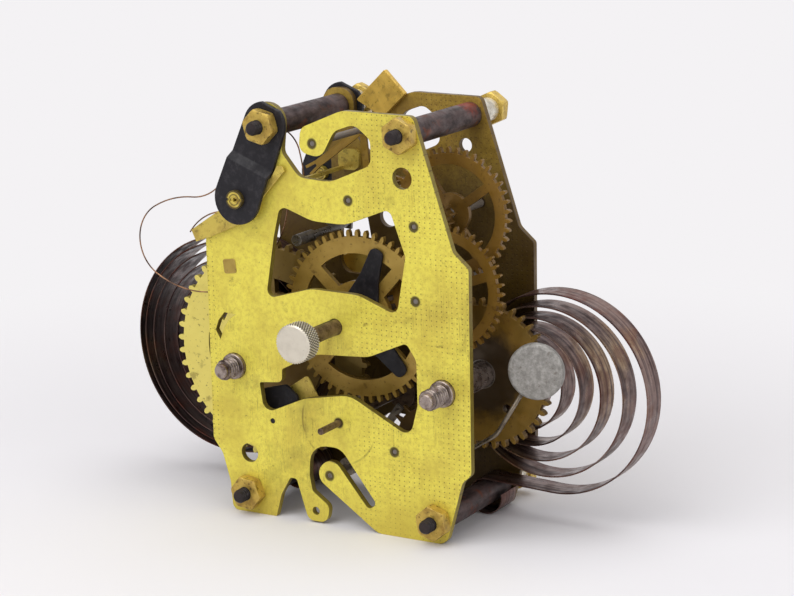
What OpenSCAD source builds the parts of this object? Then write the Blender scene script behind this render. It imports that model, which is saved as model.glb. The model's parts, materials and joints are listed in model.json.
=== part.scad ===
// Alarm clock movement without its balance: two plates on four pillars, a going
// train, an alarm train with its hammer, and two open mainsprings.
// X runs to the right seen from behind, Y towards the dial, Z up. The origin is on
// the hand arbor's axis, at the rear face of the rear plate.

/* [Frame] */
// Thickness of each plate
plate_t = 1.4; // [1.2:0.1:1.6]
// Length of the pillars between the plates
pillar_len = 26.3; // [26.1:0.1:26.6]
// Diameter of a pillar
pillar_d = 5.2; // [4.8:0.1:5.4]
// Diameter of a pillar's threaded ends
stud_d = 2.9; // [2.6:0.1:3]
// Nut size across flats
nut_af = 6.35; // [6:0.05:6.4]
// Thickness of a nut
nut_t = 2.5; // [2:0.1:2.6]
// Length of the dial collars on the front studs
collar_len = 6.4; // [5:0.1:7]
// Diameter of a dial collar
collar_d = 4.9; // [4.4:0.1:5.2]

/* [Wheels] */
// Distance from the hand arbor to each winding arbor, across
arbor_x = 24.5; // [24.5:0.01:24.52]
// Drop from the hand arbor to the winding arbors
arbor_drop = 10.8; // [10.8:0.01:10.82]
// Tip radius of the going great wheel
great_r = 23.65; // [23.6:0.01:23.66]
// Tip radius of the alarm great wheel
alarm_great_r = 15.62; // [15.6:0.01:15.64]
// Tip radius of the centre wheel
centre_r = 18; // [17.95:0.01:18.02]
// Tip radius of the third and fourth wheels
third_r = 13.28; // [13.25:0.01:13.3]
// Tip radius of the escape wheel
escape_r = 6.2; // [6:0.05:6.3]
// Tip radius of the alarm escape wheel
alarm_escape_r = 7.6; // [7.5:0.05:7.7]
// Thickness of a great wheel
great_t = 1.5; // [1.3:0.05:1.6]
// Thickness of the thinner wheels
wheel_t = 1.1; // [0.9:0.05:1.1]

/* [Arbors and hands] */
// Diameter of the hand arbor
hand_d = 3.3; // [3:0.05:3.4]
// Diameter of the hand setting knob
knob_d = 8; // [7:0.1:9]
// Length of the hand setting knob
knob_len = 4; // [3.5:0.1:4]
// Diameter of a winding arbor
wind_d = 5.4; // [5:0.05:5.5]
// Diameter of a winding arbor's threaded end
wind_thread_d = 4.3; // [4:0.05:4.4]
// Diameter of the alarm setting arbor
set_d = 1.4; // [1.2:0.05:1.5]
// Radial clearance of a shaft in its hole
running_gap = 0.05; // [0.04:0.01:0.06]

/* [Springs] */
// Thickness of a mainspring's band
band_t = 0.3; // [0.26:0.01:0.3]
// Width of the going mainspring's band
going_band_w = 9; // [8:0.1:9]
// Width of the alarm mainspring's band
alarm_band_w = 6.4; // [6:0.1:6.5]
// Turns of the going mainspring
going_turns = 8; // [7:1:8]
// Turns of the alarm mainspring
alarm_turns = 5; // [4:1:5]
// Thickness of the hairspring's wire
hair_t = 0.3; // [0.26:0.01:0.34]

/* [Alarm hammer] */
// Diameter of the hammer's head
head_d = 11.3; // [10:0.1:12]
// Thickness of the hammer's head
head_t = 2.3; // [2:0.1:2.6]
// Diameter of the hammer's wire
wire_d = 0.9; // [0.8:0.05:1]

/* [Hidden] */

// Places along Y
rear_in = plate_t;
front_in = plate_t + pillar_len;
front_out = front_in + plate_t;
centre_y = front_in - 18.2;
third_y = front_in - 16.2;
great_y = front_in - 14.1;
fourth_y = front_in - 12.9;
alarm_great_y = front_in - 11.4;
escape_y = front_in - 9.3;
alarm_escape_y = front_in - 15.9;
hammer_y = front_in - 19.7;
hair_y = front_in - 15.9;
bracket_t = 1;
bracket_drop = 1.4;
motion_y = front_out + 0.6;

// Places in the plate, as X and Z
studs = [[-14.8, 39.9], [16.5, 39.9], [-21.5, -37.3], [22.5, -37.3]];
hand_at = [0, 0];
time_at = [-arbor_x, -arbor_drop];
alarm_at = [arbor_x, -arbor_drop];
third_at = [18.67, 7.1];
fourth_at = [18.6, 21.95];
escape_at = [3.8, 26];
pallet_at = [-4.2, 36.8];
staff_at = [-21, 24.8];
alarm_escape_at = [13.2, -24.3];
hammer_at = [-2.2, -31.4];
set_at = [0.3, -19.9];
minute_at = [-12, 0];
hair_stud_at = [-12.4, 29];
post_at = [-13, 15.2];
post_foot = [-17, 15.6];
post_rivet_r = 0.75;
stop_at = [-15.6, -21.5];
foot_z = -42;

// Pivots
pivot_r = 0.5;
bore_r = pivot_r + running_gap;
hand_r = hand_d / 2;
minute_r = 1;
motion_gap = norm(minute_at);
wind_r = wind_d / 2;
wind_bore_r = wind_r + running_gap;
stud_gap = 0.04;

// Teeth of the wheels and leaves of the pinions that they drive
great_n = 50;
centre_leaves = 8;
centre_n = 54;
third_leaves = 8;
third_n = 42;
fourth_leaves = 7;
escape_leaves = 8;
escape_n = 15;
alarm_great_n = 40;
alarm_leaves = 7;
alarm_escape_n = 15;
cannon_n = 12;
minute_n = 36;
minute_leaves = 10;
hour_n = 40;
ratchet_n = 12;
wheel_fill = 0.42;
leaf_fill = 0.3;

// Vectors in the plate
function unit(v) = v / norm(v);
function polar(r, a) = [r * cos(a), r * sin(a)];
function angle_of(v) = atan2(v.y, v.x);
function turn_to(a, b) = let (d = (b - a) % 360) d > 180 ? d - 360 : d < -180 ? d + 360 : d;
function arc(c, r, a, b, steps) = [for (i = [0:steps]) c + polar(r, a + (b - a) * i / steps)];

// One corner of an outline, rounded to radius r where r is over 0
function corner(p, q, s, r) =
  let (a = unit(p - q), b = unit(s - q), half = acos(max(-1, min(1, a * b))) / 2)
  r <= 0 || half > 88 ? [q] :
  let (
    c = q + unit(a + b) * r / sin(half),
    from = angle_of(q + a * r / tan(half) - c),
    sweep = turn_to(from, angle_of(q + b * r / tan(half) - c))
  ) arc(c, r, from, from + sweep, max(2, ceil(abs(sweep) / 18)));
function place(v) = [v[0], v[1]];
function rounded(list) = let (n = len(list)) [
  for (i = [0:n - 1]) each corner(
    place(list[(i + n - 1) % n]), place(list[i]), place(list[(i + 1) % n]), list[i][2])
];

// Solids that lie along Y, from y to y + t
module slab(y, t) {
  translate([0, y + t, 0]) rotate([90, 0, 0]) linear_extrude(height = t) children();
}
module rod(at, y, t, r) {
  translate([at.x, y + t, at.y]) rotate([90, 0, 0]) cylinder(h = t, r = r, $fn = 48);
}
module cone(at, y, t, r_near, r_far) {
  translate([at.x, y + t, at.y]) rotate([90, 0, 0]) cylinder(h = t, r1 = r_far, r2 = r_near, $fn = 48);
}
module hole(at, r) {
  rod(at, -30, 90, r);
}
module hexagon(at, y, t, af, a) {
  translate([at.x, y + t, at.y]) rotate([90, 0, 0]) rotate([0, 0, a]) cylinder(h = t, r = af / sqrt(3),
    $fn = 6);
}
// A flat bar between two points
module bar(y, t, a, b, w) {
  side = unit([a.y - b.y, b.x - a.x]) * w / 2;
  slab(y, t) polygon([a + side, b + side, b - side, a - side]);
}

// Outline of the teeth of a wheel: radial flanks to the pitch circle, then a pointed arch
function tooth(r_root, r_pitch, r_tip, w, w_tip, a) =
  let (r_arch = r_tip - (r_tip - r_pitch) * 0.35, w_arch = (w + w_tip) * 0.46)
  [for (p = [[r_root, -w * r_root / r_pitch], [r_pitch, -w], [r_arch, -w_arch], [r_tip, -w_tip],
             [r_tip, w_tip], [r_arch, w_arch], [r_pitch, w], [r_root, w * r_root / r_pitch]])
    polar(p[0], a + p[1] / p[0] * 180 / PI)];
function teeth(n, r_root, r_pitch, r_tip, fill, start) =
  let (half = PI * r_pitch / n * fill)
  [for (i = [0:n - 1]) each tooth(r_root, r_pitch, r_tip, half, half * 0.36, start + 360 * i / n)];
function pitch_r(distance, n, other) = distance * n / (n + other);
function module_of(distance, n, other) = 2 * distance / (n + other);

// A wheel's rim turned so that a gap faces the pinion that it drives
module wheel_rim(at, y, t, n, leaves, r_tip, distance, toward) {
  r_pitch = pitch_r(distance, n, leaves);
  root = r_tip - 2.1 * (r_tip - r_pitch) - 0.1;
  translate([at.x, 0, at.y]) slab(y, t)
    polygon(teeth(n, root, r_pitch, r_tip, wheel_fill, toward + 180 / n));
}
// A pinion turned so that a leaf points at the wheel that drives it
module pinion(at, y, t, leaves, n, distance, toward) {
  m = module_of(distance, n, leaves);
  r_pitch = pitch_r(distance, leaves, n);
  translate([at.x, 0, at.y]) slab(y, t)
    polygon(teeth(leaves, r_pitch - 0.95 * m, r_pitch, r_pitch + 0.42 * m, leaf_fill, toward));
}
// One opening between two arms of a crossed wheel
module crossing(at, y, t, r_in, r_out, arm, a, b) {
  gap_in = asin(arm / 2 / r_in);
  gap_out = asin(arm / 2 / r_out);
  translate([at.x, 0, at.y]) slab(y - 1, t + 2) polygon(concat(
    arc([0, 0], r_out, a + gap_out, b - gap_out, 12),
    arc([0, 0], r_in, b - gap_in, a + gap_in, 8)));
}
module crossings(at, y, t, r_in, r_out, arm, count, start) {
  for (i = [0:count - 1]) crossing(at, y, t, r_in, r_out, arm, start + 360 * i / count,
    start + 360 * (i + 1) / count);
}
// An arbor with thin pivots that run in both plates
module arbor(at, r) {
  rod(at, rear_in + 0.3, pillar_len - 0.6, r);
  rod(at, 0.1, pillar_len + 2 * plate_t - 0.2, pivot_r);
}

// Plates
function outline(lobe) = [
  [2.8, 43.8, 6], [18.8, 43.6, 1.5], [27.2, 17.6, 2], [30.6, 14.6, 1], [30.6, -26.8, 1.5],
  [28.6, -28.6, 2], [24.8, foot_z, 2.5], [9, foot_z, 3], [-6.2, -31.6, 2.6], [-1.6, -27, 2.6],
  [6.9, -37.3, 0.9], [8.8, -35.9, 0.9], [0.6, -25.2, 3.5], [-6.6, -25.4, 4], [-7, -32, 4],
  [-6.4, -35.2, 0.8], [-2.4, -38, 1.6], [-3, -41.6, 2], [-7.6, -41.6, 1.8], [-10.2, -33.2, 0.6],
  [-11.7, -33.1, 0.6], [-14, -37, 2], [-15.4, foot_z, 0.3], [-26.2, foot_z, 1.5], [-26.6, -36, 3],
  [-28.3, -30, 3], [-30.5, -27, 1.5], [-30.5, 15.3, 1], [-27.2, 21, 1], [-21.6, 20.4, 2.5], [-17, 21.4, 3],
  [-17, 28.6, 2.5], [-19.2, 33, 1.5], [studs[0].x - lobe, studs[0].y + lobe, lobe - 0.6],
  [studs[0].x + lobe, studs[0].y + lobe, lobe - 0.6], [-11.4, 34.6, 2], [-7.4, 29.8, 3], [-0.2, 29.4, 6],
    [9.2, 33.4, 2],
  [9.2, 38.4, 2], [5.6, 41.2, 2.4], [1, 39.6, 3], [-2.2, 34, 2.6], [-7.4, 35, 2],
  [-6.8, 39.8, 2]];
window_upper = [
  [-16.2, 4.2, 1.4], [-13.9, 17, 3], [-12.2, 23.8, 1.6], [-4.7, 21.2, 8], [3, 21, 8],
  [13.2, 25, 1.4], [16.6, 15.8, 1], [14.4, 3.8, 1.6], [5.6, 7.1, 8], [-5.4, 7.3, 8]];
window_lower = [
  [-18.5, -13.6, 0.4], [-17.6, -20.2, 2], [-7.8, -15.8, 6], [3, -13.8, 6], [16.9, -20.8, 2],
  [18.7, -14, 3], [18.6, -4.9, 2], [16.4, -1.6, 1], [7.6, -5.4, 6], [-5, -6.2, 8],
  [-12.9, -10.2, 0.6], [-13, -13, 1.2]];
window_front = [
  [-15.6, 4.2, 3], [-15, 14.5, 2], [-11.8, 18.4, 2], [-8.4, 16.8, 1.2], [-7.4, 11, 2], [-8.2, 4.4, 2.5]];
crescent = [[-26.6, 0.3], [-23.9, 0.1], [-25.4, -0.9], [-26.8, -2.9], [-27.8, -5.5], [-28.9, -3.6],
  [-28.1, -1.5]];

module plate_blank(y, lobe) {
  slab(y, plate_t) polygon(rounded(outline(lobe)));
}
module plate_holes() {
  for (s = studs) hole(s, stud_d / 2 + stud_gap);
  hole(hand_at, hand_r + running_gap);
  for (p = [third_at, fourth_at, escape_at, pallet_at, alarm_escape_at, hammer_at]) hole(p, bore_r);
  hole(set_at, set_d / 2 + running_gap);
}
module plate_window(y, edge) {
  slab(y - 1, plate_t + 2) polygon(rounded(edge));
}
module rear_plate() {
  color("goldenrod") difference() {
    plate_blank(0, 4.5);
    plate_window(0, window_upper);
    plate_window(0, window_lower);
    slab(-1, plate_t + 2) polygon(crescent);
    plate_holes();
    hole(time_at, wind_bore_r);
    hole(alarm_at, wind_bore_r);
    hole([16.2, 31.3], 2.15);
    hole([-21.55, -29.1], 2);
    hole([-5.7, -39.4], 0.85);
    hole(stop_at, bore_r);
  }
}
module front_plate() {
  color("darkgoldenrod") difference() {
    plate_blank(front_in, 3.8);
    plate_window(front_in, window_front);
    hole([-3.2, 17.2], 2.2);
    plate_holes();
    hole(time_at, core_r + running_gap);
    hole(alarm_at, core_r + running_gap);
    hole([15.2, 33.5], 1.45);
    hole(minute_at, minute_r + stud_gap);
    hole(post_foot, post_rivet_r + stud_gap);
    hole(lug_at, lug_rivet_r + stud_gap);
    hole(hair_stud_at, 0.6);
  }
}

// Pillars, collars and nuts
module pillar(i) {
  rear_end = i == 0 ? 5.6 : 4.9;
  color("dimgray") union() {
    rod(studs[i], rear_in, pillar_len, pillar_d / 2);
    rod(studs[i], -rear_end, front_out + rear_end + collar_len + nut_t + 1.2, stud_d / 2);
  }
}
nut_turns = [14, 25, 8, 20];
module rear_nut(i) {
  seat = i == 0 ? -bracket_t : 0;
  color("goldenrod") difference() {
    hexagon(studs[i], seat - nut_t, nut_t, nut_af, nut_turns[i]);
    hole(studs[i], stud_d / 2 + stud_gap);
  }
}
module collar(i) {
  start = front_out + (i == 0 ? bracket_t : 0);
  color("silver") difference() {
    rod(studs[i], start, collar_len - (i == 0 ? bracket_t : 0), collar_d / 2);
    hole(studs[i], stud_d / 2 + stud_gap);
  }
}
module front_nut(i) {
  color("goldenrod") difference() {
    hexagon(studs[i], front_out + collar_len, nut_t, nut_af, nut_turns[i] + 11);
    hole(studs[i], stud_d / 2 + stud_gap);
  }
}

// Balance brackets: a flat head under the nut, a step, and a round end with the cup screw
bend_at = [-19.8, 31.4];
bracket_head = studs[0];
bracket_end = staff_at;
bracket_dir = angle_of(bracket_end - bracket_head);
module bracket_flat() {
  side = unit([bracket_head.y - bracket_end.y, bracket_end.x - bracket_head.x]);
  polygon(concat(
    arc(bracket_head, 4.8, bracket_dir + 96, bracket_dir + 264, 18),
    arc(bracket_end, 5.3, bracket_dir - 92, bracket_dir + 92, 18)));
}
module bracket_bend(y, side) {
  // Cut out of the flat outline by a stepped profile that runs square to the bend
  far = side > 0;
  intersection() {
    slab(far ? y : y - bracket_drop, bracket_t + bracket_drop) bracket_flat();
    translate([bend_at.x, far ? y + bracket_t : y, bend_at.y]) rotate([0, -bracket_dir, 0]) mirror([0,
      far ? 1 : 0, 0])
      translate([0, 0, -12]) linear_extrude(height = 24) polygon([
        [-14, 0], [-1.9, 0], [-0.5, -bracket_drop], [16, -bracket_drop],
        [16, bracket_t - bracket_drop], [-0.1, bracket_t - bracket_drop], [-1.5, bracket_t], [-14,
          bracket_t]]);
  }
}
module rear_balance_bracket() {
  color([0.08, 0.08, 0.08]) difference() {
    bracket_bend(-bracket_t, -1);
    hole(studs[0], stud_d / 2 + stud_gap);
    hole(staff_at, 1.5);
  }
}
module front_balance_bracket() {
  color([0.08, 0.08, 0.08]) difference() {
    bracket_bend(front_out, 1);
    hole(studs[0], stud_d / 2 + stud_gap);
    hole(staff_at, 1.5);
  }
}
cup_head_t = 0.9;
cup_len = bracket_t + bracket_drop + cup_head_t - 0.3;
module cup_screw(y, head_y, slot_y) {
  color("goldenrod") difference() {
    union() {
      rod(staff_at, y, cup_len, 1.45);
      rod(staff_at, head_y, cup_head_t, 1.9);
    }
    hole(staff_at, 0.4);
    translate([staff_at.x, slot_y, staff_at.y]) cube([5, 0.6, 0.5], center = true);
  }
}
module rear_cup_screw() {
  top = -bracket_t - bracket_drop - cup_head_t;
  cup_screw(top, top, top + 0.1);
}
module front_cup_screw() {
  top = front_out + bracket_t + bracket_drop + cup_head_t;
  cup_screw(top - cup_len, top - cup_head_t, top - 0.1);
}

// Regulator: a ring that turns about the balance axis behind the bracket's end
regulator_y = -0.95;
module regulator_lever() {
  color("goldenrod") difference() {
    slab(regulator_y, 0.5) union() {
      polygon(arc(staff_at, 4.9, 0, 350, 35));
      polygon([[-33.4, 17.2], [-32.3, 14.8], [-28.3, 16.3], [-19, 20.4], [-24.5, 23]]);
      polygon([[-17.5, 23.2], [-10.3, 31], [-10.7, 31.9], [-12, 32], [-13.5, 29.4], [-17.4, 27.9]]);
    }
    hole(staff_at, 1.5 + 0.1);
  }
}

// Hairspring: a chain of arcs, each a radius and a sweep, from the stud inwards
hair_start = [-13.9, 27.45];
hair_heading = 94.5;
hair_arcs = [
  [29.5, 11], [6, 66], [10.5, 58.5], [18.5, 21], [10, -70], [20.5, 29], [8.5, 119], [21, 64],
  [29.5, 26.5], [16.5, 22], [5.5, 134], [6, 40], [4, -75], [12, 55]];
function arc_end(p, h, r, s) = p + polar(r, h - 90 * sign(s)) * -1 + polar(r, h - 90 * sign(s) + s);
function arc_points(p, h, r, s) = let (c = p - polar(r, h - 90 * sign(s)), n = max(2, ceil(abs(s) / 9)))
  [for (i = [1:n]) c + polar(r, h - 90 * sign(s) + s * i / n)];
function chain(arcs, p, h, i = 0) = i >= len(arcs) ? [] : concat(
  arc_points(p, h, arcs[i][0], arcs[i][1]),
  chain(arcs, arc_end(p, h, arcs[i][0], arcs[i][1]), h + arcs[i][1], i + 1));
hair_path = concat([hair_start], chain(hair_arcs, hair_start, hair_heading));

// Mainsprings: a hook round the lower pillar, a straight run, then loops that close on the arbor.
// They are worked out for the right side, and the left one is mirrored.
hook_slack = 0.95;
hook_r = pillar_d / 2 + band_t / 2 + hook_slack;
hook_shift = [0.2, 0.2 - hook_slack];
core_r = wind_d / 2 - 0.4;
function spring_loops(turns, left, step, reach, fall, bend, z0, z1, start) =
  let (n = turns * 40) [for (i = [0:n])
    let (
      k = i / 40, f = k / turns,
      low = left + step * k, high = reach - fall * k - bend * k * k,
      r = (high - low) / 2, c = [(high + low) / 2, z0 + (z1 - z0) * pow(f, 1.5)])
    c + polar(r, start + 360 * k)];
function spring_path(post, leave, loops_at) = concat(arc(post, hook_r, leave + 465, leave + 180, 20),
  loops_at);
// The inner end turns in to meet the arbor square on
function inner_end(p) =
  let (e = p[len(p) - 1], r = (-arbor_drop - e.y) / 2, x = max(e.x, arbor_x + core_r) + 1)
  concat(p, [for (i = [0:12]) [x, e.y + r] + polar(r, -90 + 15 * i)], [[arbor_x + core_r + 0.05,
    -arbor_drop]]);
going_reach = 61.8;
going_left = 13.7;
going_c = [(going_reach + going_left) / 2, -11.7];
going_r = (going_reach - going_left) / 2;
going_post = [-studs[2].x, studs[2].y] + hook_shift;
going_start = angle_of(going_post - going_c) + acos((going_r + hook_r) / norm(going_post - going_c));
going_path = spring_path(going_post, going_start, inner_end(
  spring_loops(going_turns, going_left, 0.95, going_reach, 0.9, 0.35, -11.7, -10.8, going_start)));
alarm_reach = 60.4;
alarm_left = 17.6;
alarm_c = [(alarm_reach + alarm_left) / 2, -13.7];
alarm_r = (alarm_reach - alarm_left) / 2;
alarm_post = studs[3] + hook_shift;
alarm_start = angle_of(alarm_post - alarm_c) + acos((alarm_r + hook_r) / norm(alarm_post - alarm_c));
alarm_path = spring_path(alarm_post, alarm_start, inner_end(
  spring_loops(alarm_turns, alarm_left, 0.76, alarm_reach, 5.6, -0.2, -13.7, -12.4, alarm_start)));

// A band of thickness t along a path in the plate
function normal_at(p, i) = let (a = p[max(0, i - 1)], b = p[min(len(p) - 1, i + 1)]) unit([a.y - b.y,
  b.x - a.x]);
function band(p, t) = concat(
  [for (i = [0:len(p) - 1]) p[i] + normal_at(p, i) * t / 2],
  [for (i = [len(p) - 1:-1:0]) p[i] - normal_at(p, i) * t / 2]);
// Least gap of a path to itself, between points more than skip apart along it
function least_gap(p, t, skip) = min([for (i = [0:len(p) - 1]) min(concat([99],
  [for (j = [i + skip:1:len(p) - 1]) norm(p[i] - p[j])]))]) - t;
echo(going_gap = least_gap(going_path, band_t, 14));
echo(alarm_gap = least_gap(alarm_path, band_t, 14));
echo(hair_gap = least_gap(hair_path, hair_t, 8));
spring_y = front_in - 0.9;

module time_mainspring() {
  color([0.2, 0.17, 0.15]) mirror([1, 0, 0]) slab(spring_y - going_band_w, going_band_w)
    polygon(band(going_path, band_t));
}
module alarm_mainspring() {
  color([0.25, 0.2, 0.17]) slab(spring_y - alarm_band_w, alarm_band_w) polygon(band(alarm_path, band_t));
}
module hairspring() {
  color("peru") slab(hair_y, hair_t * 1.3) polygon(band(hair_path, hair_t));
}
module hairspring_stud() {
  color("goldenrod") union() {
    slab(front_in - 0.8, 0.8) polygon(rounded([
      [-14.9, 26.6, 1.4], [-9.9, 26.6, 1.4], [-9.7, 31, 1.2], [-14.7, 31, 1.2]]));
    bar(hair_y - 0.6, front_in - 0.2 - hair_y, [-14.3, 27], [-13.5, 27], 0.8);
    rod(hair_stud_at, front_in - 0.8, plate_t + 0.8, 0.55);
  }
}

// Small fixed pieces
lug_at = [-2.6, 40.4];
lug_rivet_r = 0.65;
module top_lug() {
  color("goldenrod") union() {
    slab(front_in - 1.2, 1.2) polygon(rounded([[-2.9, 48.2, 0.3], [1.9, 43.4, 0.3], [-3.6, 38.2, 0.3],
      [-9.8, 41.6, 0.3]]));
    rod(lug_at, front_in - 1.2, 1.2 + plate_t, lug_rivet_r);
  }
}
module window_post() {
  color("silver") union() {
    rod(post_at, 7, 6, 1.2);
    rod(post_at, 7, front_in - 7, post_rivet_r);
    bar(front_in - 0.8, 0.8, post_at + [1, -0.1], post_foot - [1.4, -0.1], 2.4);
    rod(post_foot, front_in - 0.8, plate_t + 0.8, post_rivet_r);
  }
}
module stop_lever() {
  color([0.1, 0.1, 0.1]) union() {
    slab(3.6, 0.8) polygon(rounded([
      [-20.8, -16.2, 1], [-19.6, -20.4, 1], [-17, -23.2, 1.2], [-13.8, -22.6, 1.2], [-11.4, -17, 1.5],
        [-14.6, -14.6, 1]]));
    rod(stop_at, rear_in + 0.3, 2.4, 0.9);
    rod(stop_at, 0.1, 3, pivot_r);
  }
}
module stop_spring() {
  color("goldenrod") union() {
    slab(5.2, 0.4) polygon(rounded([
      [-17, -17, 0.6], [-14.6, -19.6, 0.6], [-9, -20, 0.6], [-7.4, -17.4, 0.8], [-10.2, -12.4, 0.8]]));
    rod([-10.2, -18.8], rear_in, 3.8, 0.8);
  }
}

// Hand arbor and the motion work under the dial
hand_rear = -14.8;
cannon_seat_r = 1.2;
cannon_r = 1.8;
module hand_arbor() {
  color("silver") difference() {
    union() {
      rod(hand_at, hand_rear, front_out + 0.2 - hand_rear, hand_r);
      rod(hand_at, front_out + 0.2, 10, cannon_seat_r);
      rod(hand_at, front_out + 10, 1.8, 0.9);
    }
    translate([-0.3, -17, -5]) cube([0.6, 9, 10]);
  }
}
module set_knob() {
  color("gainsboro") difference() {
    translate([0, -11.8, 0]) rotate([90, 0, 0]) linear_extrude(height = knob_len)
      polygon([for (i = [0:95]) polar(knob_d / 2 - (i % 2) * 0.14, i * 3.75)]);
    rod(hand_at, hand_rear - 0.1, 5, hand_r + stud_gap);
  }
}
function leg_corner(r, a, round_r) = [r * cos(a), r * sin(a), round_r];
module friction_spring() {
  color([0.1, 0.1, 0.1]) difference() {
    slab(centre_y - 0.75, 0.6) polygon(rounded([
      for (leg = [[71, 15.4], [190, 15.2], [314, 15.2]])
        each [leg_corner(5, leg[0] - 54, 0), leg_corner(9.2, leg[0] - 14, 5), leg_corner(leg[1],
          leg[0] - 5.4, 1.3),
              leg_corner(leg[1], leg[0] + 5.4, 1.3), leg_corner(9.2, leg[0] + 14, 5), leg_corner(5,
                leg[0] + 54, 0)]]));
    hole(hand_at, hand_r + stud_gap);
  }
}
module cannon_pinion() {
  color("goldenrod") difference() {
    union() {
      pinion(hand_at, motion_y + 1.4, 1.6, cannon_n, minute_n, motion_gap, angle_of(minute_at));
      rod(hand_at, motion_y + 3, 6.4, cannon_r);
    }
    hole(hand_at, cannon_seat_r + stud_gap);
  }
}
module minute_stud() {
  color("silver") rod(minute_at, front_in, plate_t + 6.2, minute_r);
}
module minute_wheel() {
  color("goldenrod") difference() {
    union() {
      wheel_rim(minute_at, motion_y + 1.6, 1, minute_n, cannon_n, 9.42, motion_gap, angle_of(-minute_at));
      pinion(minute_at, motion_y + 2.6, 2.4, minute_leaves, hour_n, motion_gap, angle_of(-minute_at));
    }
    hole(minute_at, minute_r + running_gap);
  }
}
module hour_wheel() {
  color("goldenrod") difference() {
    union() {
      wheel_rim(hand_at, motion_y + 3.6, 1, hour_n, minute_leaves, 10, motion_gap, angle_of(minute_at));
      rod(hand_at, motion_y + 3.6, 4.4, 2.6);
    }
    hole(hand_at, cannon_r + running_gap);
  }
}

// Going train
module centre_wheel() {
  color("goldenrod") difference() {
    union() {
      difference() {
        wheel_rim(hand_at, centre_y, wheel_t, centre_n, third_leaves, centre_r, norm(third_at),
          angle_of(third_at));
        crossings(hand_at, centre_y, wheel_t, 7.5, 13.2, 2.6, 4, 48);
      }
      rod(hand_at, centre_y, great_y - centre_y - 0.5, 2.45);
      pinion(hand_at, great_y - 0.6, 2.8, centre_leaves, great_n, norm(time_at), angle_of(time_at));
    }
    hole(hand_at, hand_r + running_gap);
  }
}
module third_wheel() {
  color("goldenrod") union() {
    difference() {
      wheel_rim(third_at, third_y, wheel_t, third_n, fourth_leaves, third_r, norm(fourth_at - third_at),
        angle_of(fourth_at - third_at));
      crossings(third_at, third_y, wheel_t, 4.2, 10, 1.9, 4, 20);
    }
    rod(third_at, third_y + wheel_t, 1, 2.2);
    arbor(third_at, 0.9);
    pinion(third_at, centre_y - 0.6, 2.2, third_leaves, centre_n, norm(third_at), angle_of(-third_at));
  }
}
module fourth_wheel() {
  back = angle_of(third_at - fourth_at);
  color("goldenrod") union() {
    difference() {
      wheel_rim(fourth_at, fourth_y, wheel_t, third_n, escape_leaves, third_r + 0.1,
        norm(escape_at - fourth_at), angle_of(escape_at - fourth_at));
      crossings(fourth_at, fourth_y, wheel_t, 4.2, 10, 1.9, 4, 35);
    }
    rod(fourth_at, fourth_y + wheel_t, 1, 2.2);
    arbor(fourth_at, 0.9);
    pinion(fourth_at, third_y - 0.6, 2.4, fourth_leaves, third_n, norm(fourth_at - third_at), back);
  }
}
// Pointed teeth that lean, for the two escape wheels
function lean_teeth(n, r_root, r_tip, lean, start) = [for (i = [0:n - 1]) each [
  polar(r_root, start + 360 * (i + 0.1) / n), polar(r_tip - 0.05, start + 360 * (i + lean - 0.06) / n),
  polar(r_tip, start + 360 * (i + lean) / n), polar(r_root, start + 360 * (i + 0.5) / n),
  polar(r_root, start + 360 * (i + 0.8) / n)]];
module escape_wheel() {
  color("goldenrod") union() {
    difference() {
      translate([escape_at.x, 0, escape_at.y]) slab(escape_y, 0.7)
        polygon(lean_teeth(escape_n, escape_r - 1.5, escape_r, 0.62, 6));
      crossings(escape_at, escape_y, 0.7, 1.9, 3.9, 0.8, 4, 10);
    }
    arbor(escape_at, 0.8);
    pinion(escape_at, fourth_y - 0.6, 2.4, escape_leaves, third_n, norm(escape_at - fourth_at),
      angle_of(fourth_at - escape_at));
  }
}
pin_r = 0.3;
pin_gap = 0.45;
pallet_span = acos((escape_r + pin_r + pin_gap) / norm(escape_at - pallet_at));
pallet_reach = sqrt(pow(norm(escape_at - pallet_at), 2) - pow(escape_r + pin_r + pin_gap, 2));
module pallet_lever() {
  toward = angle_of(escape_at - pallet_at);
  tail = angle_of(staff_at - pallet_at);
  pins = [for (s = [-1, 1]) pallet_at + polar(pallet_reach, toward + s * (90 - pallet_span))];
  color("goldenrod") union() {
    for (p = pins) {
      bar(escape_y + 1, 0.6, pallet_at, p + unit(p - pallet_at) * 0.6, 1.5);
      rod(p, escape_y - 0.3, 1.5, pin_r);
    }
    bar(escape_y + 1, 0.6, pallet_at - polar(1, tail), pallet_at + polar(14, tail), 1.6);
    bar(escape_y + 1, 0.6, pallet_at + polar(13.4, tail) + polar(0.5, tail + 90), pallet_at + polar(16.4,
      tail) + polar(0.9, tail + 90), 0.6);
    bar(escape_y + 1, 0.6, pallet_at + polar(13.4, tail) - polar(0.5, tail + 90), pallet_at + polar(16.4,
      tail) - polar(0.9, tail + 90), 0.6);
    arbor(pallet_at, 0.7);
  }
}

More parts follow.
